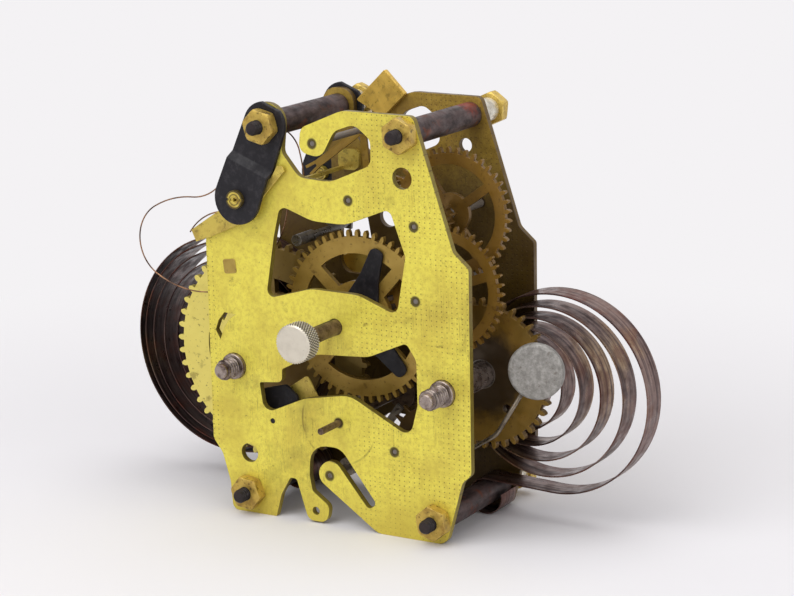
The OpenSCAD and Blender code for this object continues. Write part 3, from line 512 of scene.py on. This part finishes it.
def lathe(name, at, profile, material, around=64, radiusOf=None):
    # profile is (y, r) pairs; point = axis + r(y, angle) * (cos angle, sin angle)
    profile = np.asarray(profile, float)
    angle = np.linspace(0, 2 * np.pi, around, endpoint=False)
    y, a = np.meshgrid(profile[:, 0], angle, indexing="ij")
    plain = np.repeat(profile[:, 1:2], around, 1)
    r = plain if radiusOf is None else radiusOf(y, a, plain)
    points = np.stack([at[0] + r * np.cos(a), y, at[1] + r * np.sin(a)], -1).reshape(-1, 3)
    made = makeObject(name, points, gridFaces(len(profile), around), material)
    sunk = (plain - r) / max(float((plain - r).max()), 1e-6)
    valley = made.data.attributes.new("valley", "FLOAT", "POINT")
    valley.data.foreach_set("value", sunk.ravel().astype(np.float32))
    outward(made)
    sharpen(made)
    return made


def tube(name, path, radius, material, around):
    # a circle carried along a path that lies in one plane square to Y: point = p + r (n cos b + Y sin b)
    path = np.asarray(path, float)
    ahead = np.gradient(path, axis=0)
    ahead /= np.linalg.norm(ahead, axis=1)[:, None]
    n = np.stack([ahead[:, 2], np.zeros(len(path)), -ahead[:, 0]], -1)
    b = np.linspace(0, 2 * np.pi, around, endpoint=False)
    ring = n[:, None] * np.cos(b)[None, :, None] + np.array([0, 1.0, 0]) * np.sin(b)[None, :, None]
    points = (path[:, None] + ring * radius).reshape(-1, 3)
    faces = gridFaces(len(path), around)
    faces.append(list(range(around))[::-1])
    faces.append(list(range(len(points) - around, len(points))))
    made = makeObject(name, points, faces, material)
    outward(made)
    return made


def extruded(name, outline, y0, y1, material, bevel):
    # a flat outline (x, z) carried from y0 to y1, closed by its two faces
    outline = np.asarray(outline, float)
    n = len(outline)
    near = np.stack([outline[:, 0], np.full(n, y0), outline[:, 1]], -1)
    far = near + np.array([0, y1 - y0, 0])
    faces = [[i, (i + 1) % n, n + (i + 1) % n, n + i] for i in range(n)]
    faces.append(list(range(n))[::-1])
    faces.append(list(range(n, 2 * n)))
    made = makeObject(name, np.concatenate([near, far]), faces, material)
    outward(made)
    addBevel(made, bevel)
    return made


brokenEdge = {"segments": 2, "degrees": 28}


def addBevel(made, width):
    made.data.shade_smooth()
    sharpen(made, brokenEdge["degrees"])
    cut = made.modifiers.new("edges", "BEVEL")
    cut.width = width * mm
    cut.segments = brokenEdge["segments"]
    cut.limit_method = "ANGLE"
    cut.angle_limit = math.radians(brokenEdge["degrees"])


def finer(node, material, bevel):
    # a copy of the CAD node, merged and dissolved to clean faces, with its edges broken
    source = nodes[node]
    mesh = source.data.copy()
    made = bpy.data.objects.new(node + "_finer", mesh)
    bpy.context.scene.collection.objects.link(made)
    work = bmesh.new()
    work.from_mesh(mesh)
    bmesh.ops.remove_doubles(work, verts=work.verts, dist=2e-6)
    bmesh.ops.dissolve_limit(work, angle_limit=math.radians(1.5), verts=work.verts, edges=work.edges)
    work.to_mesh(mesh)
    work.free()
    mesh.materials.clear()
    mesh.materials.append(material)
    addBevel(made, bevel)
    put(made, node)


bodyOf = {n: body for body, names in frame["record"]["behaviour"]["bodies"].items() for n in names}


def put(made, node):
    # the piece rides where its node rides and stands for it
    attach(made, bodyOf[node])
    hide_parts(node)


# Plates and their fittings

plates = {"bevel": 0.16, "rearIn": 1.4, "frontIn": 27.7, "frontOut": 29.1, "bracket": 1.0}
nearBrass = plateMaterial("plateBrassNear", False)
# the far plate takes the darker inner colours, a painted-shade copy of the near plate's brass
farBrass = plateMaterial("plateBrassFar", True)
finer("rear_plate", nearBrass, plates["bevel"])
finer("front_plate", farBrass, plates["bevel"])
finer("top_lug", tarnishedBrassMaterial("lugBrass", (222, 184, 84), amount=0.35), 0.15)
rivet = {"at": (-24.8, 10.2), "side": 3.0, "proud": 0.16, "corner": 0.5, "turn": 8}


def makeRivet():
    # a rounded square: corner centre + corner radius * (cos a, sin a) for each quarter turn
    s = rivet
    half = s["side"] / 2 - s["corner"]
    a = np.radians(np.arange(0, 360, 9) + s["turn"])
    quarter = np.floor(np.arange(0, 360, 9) / 90)
    spin = np.radians(quarter * 90 + 45 + s["turn"])
    outline = np.stack([s["at"][0] + half * math.sqrt(2) * np.cos(spin) + s["corner"] * np.cos(a),
                        s["at"][1] + half * math.sqrt(2) * np.sin(spin) + s["corner"] * np.sin(a)], -1)
    brass = tarnishedBrassMaterial("rivetBrass", (170, 144, 70), amount=0.5)
    made = extruded("plateRivet", outline, -s["proud"], 0.0, brass, 0.06)
    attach(made, bodyOf["rear_plate"])


makeRivet()
print("plates made")

studPlaces = {
    "upper_left": (-14.8, 39.9), "upper_right": (16.5, 39.9),
    "lower_left": (-21.5, -37.3), "lower_right": (22.5, -37.3)}
collars = {"radius": 2.45, "bore": 1.49, "chamfer": 0.25, "end": 35.5}
pillars = {
    "radius": 2.6, "studRadius": 1.45, "edge": 0.2, "rearEnd": -4.9, "rearEndOverBracket": -5.6,
    "frontEnd": 39.2, "frontThread": 35.4, "endTaper": 0.35, "threadPitch": 0.72, "threadDepth": 0.24,
    "threadStep": 0.09}


def threadProfile(y0, y1, r, step):
    # closely spaced points, so that a helical groove can be cut round them
    count = max(3, int(abs(y1 - y0) / step))
    return [(y, r) for y in np.linspace(y0, y1, count)]


def threaded(spans, pitch, depth):
    # r minus a vee groove that climbs one pitch a turn, depth * (1 - |2 phase - 1|), within the spans
    def radiusOf(y, a, r):
        phase = (y / pitch - a / (2 * np.pi)) % 1.0
        groove = depth * (1 - np.abs(2 * phase - 1))
        inside = np.zeros_like(y)
        for y0, y1 in spans:
            inside = np.maximum(inside, ((y >= y0) & (y <= y1) & (r > 1.0)).astype(float))
        return r - groove * inside
    return radiusOf


redSpots = {"upper_right": (16.5, 24.5, 42.0)}
for place, at in studPlaces.items():
    s = pillars
    rearEnd = s["rearEndOverBracket" if place == "upper_left" else "rearEnd"]
    frontEnd = s["frontEnd"]
    start = plates["rearIn"]
    end = plates["frontIn"]
    r = s["radius"]
    edge = s["edge"]
    studR = s["studRadius"]
    tipR = studR - s["endTaper"]
    profile = [(rearEnd, 0.0), (rearEnd, tipR)]
    profile += threadProfile(rearEnd + 0.3, -0.05, studR, s["threadStep"])
    profile += [(0.0, studR), (start, studR), (start, r - edge), (start + edge, r)]
    profile += [(end - edge, r), (end, r - edge), (end, studR), (s["frontThread"] - 0.1, studR)]
    profile += threadProfile(s["frontThread"], frontEnd - 0.3, studR, s["threadStep"])
    profile += [(frontEnd, tipR), (frontEnd, 0.0)]
    rust = rustMaterial("pillarRust_" + place, redSpots.get(place))
    spans = [(rearEnd + 0.2, -0.05), (s["frontThread"], frontEnd - 0.2)]
    cut = threaded(spans, s["threadPitch"], s["threadDepth"])
    made = lathe("pillar_" + place + "_turned", at, profile, rust, 48, cut)
    put(made, "pillar_" + place)
print("pillars made")

nuts = {"acrossFlats": 6.35, "thickness": 2.5, "turns": (14, 25, 8, 20), "frontTurn": 11, "chamfer": 0.5}


def hexRadius(turn, flats):
    # r = half the flats / cos of the angle from the nearest flat's middle, or the profile's own r if less
    def radiusOf(y, a, r):
        fromFlat = (a - np.radians(turn)) % (np.pi / 3) - np.pi / 6
        hexagon = flats / 2 / np.cos(fromFlat)
        return np.where(r > 2.0, np.minimum(hexagon, r), r)
    return radiusOf


def nut(name, node, at, y0, turn, material):
    # a ring (y, r) whose radius the hexagon cuts back between its chamfers
    s = nuts
    bore = collars["bore"]
    tip = s["acrossFlats"] / math.sqrt(3)
    y1 = y0 + s["thickness"]
    face = s["acrossFlats"] / 2 - 0.05
    middle = face + (tip - face) * 0.6
    c = s["chamfer"] * 0.55
    ring = [(y0, bore), (y0, face), (y0 + c * 0.5, middle), (y0 + c, tip)]
    ring += [(y1 - c, tip), (y1 - c * 0.5, middle), (y1, face), (y1, bore), (y0, bore)]
    made = lathe(name, at, ring, material, 96, hexRadius(-turn, s["acrossFlats"]))
    put(made, node)


nutBrass = tarnishedBrassMaterial("nutBrass", amount=0.75)
frontNutBrass = tarnishedBrassMaterial("nutBrassFront", bright=(214, 184, 92), amount=0.5)
for k, (place, at) in enumerate(studPlaces.items()):
    seat = -plates["bracket"] if place == "upper_left" else 0.0
    nut("nutRear_" + place, "rear_nut_" + place, at, seat - nuts["thickness"], nuts["turns"][k], nutBrass)
    turn = nuts["turns"][k] + nuts["frontTurn"]
    nut("nutFront_" + place, "front_nut_" + place, at, collars["end"], turn, frontNutBrass)

nickel = steelMaterial("nickel", (222, 218, 206), (150, 142, 126), 0.75, 0.26)
for place, at in studPlaces.items():
    start = plates["frontOut"] + (plates["bracket"] if place == "upper_left" else 0.0)
    end = collars["end"]
    bore = collars["bore"]
    c = collars["chamfer"]
    r = collars["radius"]
    ring = [(start, bore), (start, r - c), (start + c, r)]
    ring += [(end - c, r), (end, r - c), (end, bore), (start, bore)]
    made = lathe("collar_" + place + "_turned", at, ring, nickel, 64)
    put(made, "collar_" + place)
print("nuts and collars made")

blackSteel = blackMaterial("blackSteel")
finer("rear_balance_bracket", blackSteel, 0.14)
finer("front_balance_bracket", blackSteel, 0.14)
finer("stop_lever", blackSteel, 0.1)
finer("friction_spring", blackSteel, 0.12)
cupBrass = cupMaterial("cupBrass")
finer("rear_cup_screw", cupBrass, 0.08)
finer("front_cup_screw", cupBrass, 0.08)
leverBrass = tarnishedBrassMaterial("leverBrass", bright=(204, 182, 84), amount=0.45)
finer("regulator_lever", leverBrass, 0.08)
finer("hairspring_stud", leverBrass, 0.08)
finer("stop_spring", leverBrass, 0.08)
print("brackets made")

# Hand arbor, knob and motion work

brightSteel = steelMaterial("brightSteel", (168, 162, 152), (84, 74, 64), 0.85, 0.3)
finer("hand_arbor", arborMaterial("handArborSteel", -40, True), 0.12)
finer("window_post", steelMaterial("postSteel", (128, 124, 118), (60, 54, 50), 0.8, 0.3), 0.15)
finer("minute_stud", brightSteel, 0.1)
finer("alarm_set_arbor", arborMaterial("setArborSteel", -9.2, False), 0.1)

knob = {"from": -15.8, "to": -11.8, "radius": 4.0, "bore": 1.69, "knurlDepth": 0.22, "knurlCount": 44,
        "knurlPitch": 1.1}


def knurl(y, a, r):
    # two sets of helical ridges cross: depth * |sin(n a + k y)| * |sin(n a - k y)| taken off the rim
    s = knob
    turned = s["knurlCount"] / 2 * a
    along = 2 * np.pi / s["knurlPitch"] * y / 2
    ridges = np.abs(np.sin(turned + along)) * np.abs(np.sin(turned - along))
    onRim = (r > s["radius"] - 0.02).astype(float)
    return r - s["knurlDepth"] * (1 - ridges) * onRim


def makeKnob():
    s = knob
    rim = [(y, s["radius"]) for y in np.linspace(s["from"] + 0.35, s["to"] - 0.3, 42)]
    ring = [(s["from"], 0.0), (s["from"], 3.2), (s["from"] + 0.04, 3.55), (s["from"] + 0.3, 3.8)] + rim
    ring += [(s["to"] - 0.25, 3.75), (s["to"], 3.4), (s["to"], s["bore"])]
    ring += [(s["from"] + 0.9, s["bore"]), (s["from"] + 0.9, 0.0)]
    bright = steelMaterial("knobNickel", (214, 206, 190), (150, 138, 118), 0.55, 0.36, False, 0.16)
    made = lathe("setKnobKnurled", (0, 0), ring, bright, 352, knurl)
    put(made, "set_knob")


makeKnob()
motionBrass = wheelMaterial("motionBrass", "hand", 0.7)
finer("cannon_pinion", motionBrass, 0.05)
finer("hour_wheel", motionBrass, 0.05)
finer("minute_wheel", wheelMaterial("minuteBrass", "minute", 0.7), 0.05)
print("hand arbor made")

# Wheels of both trains

# tone and light are lit and shaded copies of one brass, painted light and shade
wheels = {
    "centre_wheel": {"arbor": "hand", "light": 0.5, "tone": (186, 154, 74)},
    "third_wheel": {"arbor": "third", "light": 0.25, "tone": (148, 112, 44), "grime": 0.3},
    "fourth_wheel": {"arbor": "fourth", "light": 0.25, "tone": (134, 100, 40), "grime": 0.3},
    "escape_wheel": {"arbor": "escape", "light": 0.5, "tone": (150, 118, 52)},
    "pallet_lever": {"arbor": "pallet", "light": 0.6, "tone": (168, 136, 58)},
    "time_great_wheel": {"arbor": "timeWinding", "light": 0.9, "tone": (228, 212, 110), "grime": 0.5,
                         "steelWithin": 3.0, "shadeFrom": -30},
    "alarm_great_wheel": {"arbor": "alarmWinding", "light": 0.2, "tone": (132, 104, 44), "grime": 0.9,
                          "steelWithin": 3.0},
    "alarm_escape_wheel": {"arbor": "alarmEscape", "light": 0.3, "tone": (112, 84, 36), "grime": 0.6}}
for node, look in wheels.items():
    finer(node, wheelMaterial("brass_" + node, **look), 0.06)
print("wheels made")

# Winding arbors, ratchets and clicks

darkSteel = steelMaterial("darkSteel", (122, 112, 106), (48, 40, 36), 0.8, 0.36)
winding = {
    "radius": 2.7, "core": 2.3, "thread": 2.15, "tip": 1.5, "pitch": 0.78, "depth": 0.42,
    "frontEnd": 29.4, "timeRearEnd": 4.4, "alarmRearEnd": 6.2}
ratchet = {"root": 5.3, "tip": 6.4, "teeth": 12, "thickness": 1.0, "start": 67}
greatWheels = {"timeY": 13.6, "alarmY": 16.3, "thickness": 1.5, "gap": 0.15}


def ratchetOutline(at):
    # each tooth: up a long ramp from the root circle to the tip circle, then straight back
    s = ratchet
    k = np.arange(s["teeth"])[:, None]
    share = np.array([0.0, 0.14, 0.92, 0.98])[None, :]
    r = np.array([s["root"], s["root"], s["tip"], s["tip"]])[None, :] + 0 * k
    a = np.radians(s["start"] + 360 * (k + share) / s["teeth"])
    return np.stack([at[0] + r * np.cos(a), at[1] + r * np.sin(a)], -1).reshape(-1, 2)


def makeWindingArbor(kind):
    # turned from the axis out: pin, threaded stretch, shoulder, then the thinner core to the front plate
    s = winding
    node = kind + "_winding_arbor"
    at = arbors[kind + "Winding"]
    shoulder = -1
    threadEnd = -s[kind + "RearEnd"]
    pinEnd = threadEnd - 1
    ratchetY = greatWheels[kind + "Y"] + greatWheels["thickness"] + greatWheels["gap"]
    seat = ratchetY + ratchet["thickness"]
    r = s["radius"]
    end = s["frontEnd"]
    profile = [(pinEnd, 0.0), (pinEnd, s["tip"] - 0.25), (pinEnd + 0.25, s["tip"]), (threadEnd, s["tip"])]
    profile += [(threadEnd + 0.01, s["thread"] - 0.3)]
    profile += threadProfile(threadEnd + 0.25, shoulder - 0.05, s["thread"], 0.1)
    profile += [(shoulder, s["thread"]), (shoulder, r - 0.2), (shoulder + 0.2, r), (seat + 1, r)]
    profile += [(seat + 1, s["core"]), (end - 0.1, s["core"]), (end, s["core"] - 0.1), (end, 0.0)]
    cut = threaded([(threadEnd + 0.2, shoulder - 0.02)], s["pitch"], s["depth"])
    put(lathe(node + "_turned", at, profile, windingSteel, 56, cut), node)
    put(extruded(node + "_ratchet", ratchetOutline(at), ratchetY, seat, darkSteel, 0.06), node)


windingSteel = steelMaterial("windingSteel", (160, 146, 138), (62, 38, 32), 0.8, 0.3, True, 0.85)
makeWindingArbor("time")
makeWindingArbor("alarm")
finer("time_click", darkSteel, 0.06)
finer("alarm_click", darkSteel, 0.06)
print("winding arbors made")

# Springs: the same curves as the CAD bands, with far more points and rounded edges

springs = {
    "thickness": 0.3, "edge": 0.1, "hookRadius": pillars["radius"] + 0.3 / 2 + 0.95,
    "hookShift": (0.2, -0.75), "hookAngles": (465, 180), "perTurn": 128,
    "time": {"post": (21.5, -37.3), "side": -1, "turns": 8, "left": 13.7, "step": 0.95,
             "reach": 61.7, "fall": 0.9, "bend": 0.35, "z0": -11.7, "z1": -10.8, "y0": 17.8, "y1": 26.8},
    "alarm": {"post": (22.5, -37.3), "side": 1, "turns": 5, "left": 17.6, "step": 0.76,
              "reach": 60.4, "fall": 5.6, "bend": -0.2, "z0": -13.7, "z1": -12.4, "y0": 20.4, "y1": 26.8}}


def springPath(s):
    # as if on the right side: hook round the pillar, loops whose centre and radius shift steadily, then a
    # turn in to the arbor
    post = np.array(s["post"]) + np.array(springs["hookShift"])
    c = np.array([(s["reach"] + s["left"]) / 2, s["z0"]])
    r = (s["reach"] - s["left"]) / 2
    hookR = springs["hookRadius"]
    away = post - c
    leave = math.degrees(math.atan2(away[1], away[0]))
    leave += math.degrees(math.acos((r + hookR) / np.hypot(*away)))
    hookStart, hookEnd = springs["hookAngles"]
    a = np.radians(np.linspace(leave + hookStart, leave + hookEnd, 80))
    hook = post + hookR * np.stack([np.cos(a), np.sin(a)], -1)
    k = np.linspace(0, s["turns"], s["turns"] * springs["perTurn"] + 1)
    lowSide = s["left"] + s["step"] * k
    highSide = s["reach"] - s["fall"] * k - s["bend"] * k * k
    radius = (highSide - lowSide) / 2
    zc = s["z0"] + (s["z1"] - s["z0"]) * (k / s["turns"]) ** 1.5
    t = np.radians(leave + 360 * k)
    loops = np.stack([(highSide + lowSide) / 2 + radius * np.cos(t), zc + radius * np.sin(t)], -1)
    straight = hook[-1] + (loops[0] - hook[-1]) * np.linspace(0, 1, 12)[1:-1, None]
    end = loops[-1]
    arborX, arborZ = arbors["alarmWinding"]
    core = winding["core"]
    turnR = (arborZ - end[1]) / 2
    x = max(end[0], arborX + core) + 1
    b = np.radians(np.linspace(-90, 90, 40))
    inner = np.array([x, end[1] + turnR]) + turnR * np.stack([np.cos(b), np.sin(b)], -1)
    last = np.array([[arborX + core + 0.05, arborZ]])
    return np.concatenate([hook, straight, loops, inner, last])


def makeSpring(kind, node, material):
    # section: a thin strip with rounded edges, point = p + n u + Y v
    s = springs[kind]
    path = springPath(s)
    path[:, 0] *= s["side"]
    ahead = np.gradient(path, axis=0)
    ahead /= np.linalg.norm(ahead, axis=1)[:, None]
    n = np.stack([ahead[:, 1], -ahead[:, 0]], -1)
    half = springs["thickness"] / 2
    u = np.array([-1, -1, -0.55, 0.55, 1, 1, 1, 1, 0.55, -0.55, -1, -1]) * half
    c = springs["edge"]
    v = np.array([s["y0"] + c * 2, s["y0"] + c, s["y0"], s["y0"], s["y0"] + c, s["y0"] + c * 2,
                  s["y1"] - c * 2, s["y1"] - c, s["y1"], s["y1"], s["y1"] - c, s["y1"] - c * 2])
    xz = path[:, None] + n[:, None] * u[None, :, None]
    points = np.stack([xz[..., 0], np.broadcast_to(v, xz.shape[:2]), xz[..., 1]], -1).reshape(-1, 3)
    faces = gridFaces(len(path), len(u))
    faces.append(list(range(len(u)))[::-1])
    faces.append(list(range(len(points) - len(u), len(points))))
    made = makeObject(kind + "SpringBand", points, faces, material)
    run = np.concatenate([[0], np.cumsum(np.linalg.norm(np.diff(path, axis=0), axis=1))]) * mm
    along = made.data.attributes.new("along", "FLOAT", "POINT")
    along.data.foreach_set("value", np.repeat(run, len(u)).astype(np.float32))
    across = made.data.attributes.new("across", "FLOAT", "POINT")
    across.data.foreach_set("value", np.tile(v * mm, len(path)).astype(np.float32))
    outward(made)
    sharpen(made, 40)
    put(made, node)


# the time spring's copy is dimmed to 0.45, painted shade on the left of the movement
makeSpring("time", "time_mainspring", springMaterial("timeSpringSteel", 0.45))
makeSpring("alarm", "alarm_mainspring", springMaterial("alarmSpringSteel", 1.0))

hair = {
    "start": (-13.9, 27.45), "heading": 94.5, "y": 12.0, "radius": 0.15,
    "arcs": ((29.5, 11), (6, 66), (10.5, 58.5), (18.5, 21), (10, -70), (20.5, 29), (8.5, 119), (21, 64),
             (29.5, 26.5), (16.5, 22), (5.5, 134), (6, 40), (4, -75), (12, 55))}


def hairPath(s):
    # a chain of arcs, each starting where the last one ends and in its direction
    point = np.array(s["start"], float)
    heading = s["heading"]
    pieces = [point[None]]
    for radius, sweep in s["arcs"]:
        toStart = math.radians(heading - 90 * np.sign(sweep))
        centre = point - radius * np.array([math.cos(toStart), math.sin(toStart)])
        a = toStart + np.radians(sweep) * np.linspace(0, 1, max(4, int(abs(sweep) / 2.5)))[1:]
        run = centre + radius * np.stack([np.cos(a), np.sin(a)], -1)
        pieces.append(run)
        point = run[-1]
        heading += sweep
    flat = np.concatenate(pieces)
    return np.stack([flat[:, 0], np.full(len(flat), s["y"]), flat[:, 1]], -1)


hairWire = tube("hairspringWire", hairPath(hair), hair["radius"], copperMaterial("copperWire"), 10)
put(hairWire, "hairspring")
print("springs made")

# Alarm hammer

hammer = {
    "y": 8.0, "wireRadius": 0.45, "head": (41, -6.3), "headRadius": 5.65, "headThickness": 2.3, "turn": 10,
    "route": (arbors["hammer"] + (0,), (12, -28.6, 8), (26.5, -23.9, 8), (32, -20.4, 6), (38.4, -10.2, 0))}


def roundedRoute(s):
    # straight runs joined by arcs of the given radius
    p = np.array(s["route"], float)
    out = [p[0, :2]]
    for i in range(1, len(p) - 1):
        corner = p[i, :2]
        r = p[i, 2]
        a = (p[i - 1, :2] - corner) / np.linalg.norm(p[i - 1, :2] - corner)
        b = (p[i + 1, :2] - corner) / np.linalg.norm(p[i + 1, :2] - corner)
        half = math.acos(np.clip(a @ b, -1, 1)) / 2
        centre = corner + (a + b) / np.linalg.norm(a + b) * r / math.sin(half)
        first = corner + a * r / math.tan(half) - centre
        last = corner + b * r / math.tan(half) - centre
        t0 = math.atan2(first[1], first[0])
        sweep = (math.atan2(last[1], last[0]) - t0 + np.pi) % (2 * np.pi) - np.pi
        t = t0 + sweep * np.linspace(0, 1, 12)
        out.extend(centre + r * np.stack([np.cos(t), np.sin(t)], -1))
    out.append(p[-1, :2])
    flat = np.array(out)
    return np.stack([flat[:, 0], np.full(len(flat), s["y"]), flat[:, 1]], -1)


def makeHammer():
    s = hammer
    steel = steelMaterial("hammerWireSteel", (128, 118, 104), (58, 46, 38), 0.8, 0.32, False)
    wire = tube("hammerWireRound", roundedRoute(s), s["wireRadius"], steel, 16)
    put(wire, "hammer_wire")
    t = s["headThickness"] / 2
    r = s["headRadius"]
    ring = [(-t, 0.0), (-t, r - 0.7), (-t + 0.1, r - 0.35), (-t + 0.35, r - 0.08), (-t + 0.6, r)]
    ring += [(t - 0.6, r), (t - 0.35, r - 0.08), (t - 0.1, r - 0.35), (t, r - 0.7), (t, 0.0)]
    head = lathe("hammerHeadCast", (0, 0), ring, zincMaterial("zinc"), 96)
    spot = Matrix.Translation((s["head"][0] * mm, s["y"] * mm, s["head"][1] * mm))
    head.data.transform(spot @ Matrix.Rotation(math.radians(s["turn"]), 4, "Z"))
    put(head, "hammer_head")


makeHammer()
finer("alarm_verge", steelMaterial("vergeSteel", (140, 132, 122), (64, 54, 46), 0.8, 0.34), 0.06)
print("hammer made")

# Stage, light and camera

stage = {
    "near": (224, 222, 224), "far": (244, 242, 244), "nearTo": 0.11, "farFrom": 0.24, "halfWidth": 3.0,
    "bend": 0.6, "wallTop": 2.5, "world": (250, 249, 251), "worldStrength": 0.46}


def paleMaterial(name):
    # near the object a plain pale floor takes its shadow; farther out the tone is even for rays from the
    # camera and for mirrored and transmitted ones
    s = stage
    g = Graph(name, linear(*s["near"]), 0.0, 0.9)
    g.shader.inputs["Specular IOR Level"].default_value = 0.1
    away = g.node("ShaderNodeVectorMath", operation="LENGTH")
    g.feed(away.inputs[0], g.objectPoint)
    far = g.between(away.outputs["Value"], s["nearTo"], s["farFrom"])
    rays = g.node("ShaderNodeLightPath").outputs
    bent = g.maths("MAXIMUM", rays["Is Glossy Ray"], rays["Is Transmission Ray"])
    seen = g.maths("MAXIMUM", rays["Is Camera Ray"], bent)
    even = g.node("ShaderNodeEmission")
    even.inputs["Color"].default_value = linear(*s["far"])
    both = g.node("ShaderNodeMixShader")
    g.feed(both.inputs[0], g.times(far, seen))
    g.feed(both.inputs[1], g.shader.outputs[0])
    g.feed(both.inputs[2], even.outputs[0])
    g.feed(g.material.node_tree.nodes["Material Output"].inputs["Surface"], both.outputs[0])
    return g.material


def makeStage():
    floorZ = float(cadLow[2])
    h = stage["halfWidth"]
    bend = stage["bend"]
    a = np.linspace(0, np.pi / 2, 24)
    curve = np.stack([h * 0.5 + bend * np.sin(a), bend * (1 - np.cos(a))], -1)
    profile = np.concatenate([[[-h, 0]], curve, [[h * 0.5 + bend, stage["wallTop"]]]])
    across = np.array([-h, h])
    y, x = np.meshgrid(profile[:, 0], across, indexing="ij")
    z = np.repeat(profile[:, 1:2], 2, 1)
    points = np.stack([x, y, z + floorZ], -1).reshape(-1, 3) / mm
    floor = makeObject("floor", points, gridFaces(len(profile), 2, False), paleMaterial("pale"))


lamps = {
    "keySoft": {"place": (-0.25, -0.75, 0.85), "size": 1.1, "power": 9.4},
    "fillRight": {"place": (0.9, -0.25, 0.35), "size": 0.8, "power": 3},
    "topSoft": {"place": (0.1, 0.2, 1.1), "size": 1.0, "power": 5.2}}


def areaLight(name, place, size, power):
    # a square lamp that faces the origin
    data = bpy.data.lights.new(name, "AREA")
    data.size = size
    data.energy = power
    made = bpy.data.objects.new(name, data)
    made.location = place
    made.rotation_euler = (-Vector(place)).to_track_quat("-Z", "Y").to_euler()
    bpy.context.scene.collection.objects.link(made)


view = {
    "place": (242.2, -388.8, 113.1), "azimuth": 30.35, "elevation": 13.2, "roll": -1.2,
    "focal": 2360, "frameWidth": 794, "sensor": 36}


def makeCamera():
    # it looks along Y, turned about Z by the azimuth, tipped down by the elevation and rolled about its own
    # axis
    s = view
    data = bpy.data.cameras.new("camera")
    data.sensor_width = s["sensor"]
    data.lens = s["sensor"] * s["focal"] / s["frameWidth"]
    data.clip_start = 0.01
    data.clip_end = 20
    made = bpy.data.objects.new("camera", data)
    turn = Matrix.Rotation(math.radians(s["azimuth"]), 4, "Z")
    turn @= Matrix.Rotation(math.radians(90 - s["elevation"]), 4, "X")
    turn @= Matrix.Rotation(math.radians(s["roll"]), 4, "Z")
    made.matrix_world = Matrix.Translation([v * mm for v in s["place"]]) @ turn
    bpy.context.scene.collection.objects.link(made)
    bpy.context.scene.camera = made


makeStage()
for name, lamp in lamps.items():
    areaLight(name, **lamp)
makeCamera()

world = bpy.data.worlds.new("world")
world.use_nodes = True
sky = world.node_tree.nodes["Background"]
sky.inputs["Color"].default_value = linear(*stage["world"])
sky.inputs["Strength"].default_value = stage["worldStrength"]
bpy.context.scene.world = world
bpy.context.scene.view_settings.view_transform = "Standard"
print("stage made")
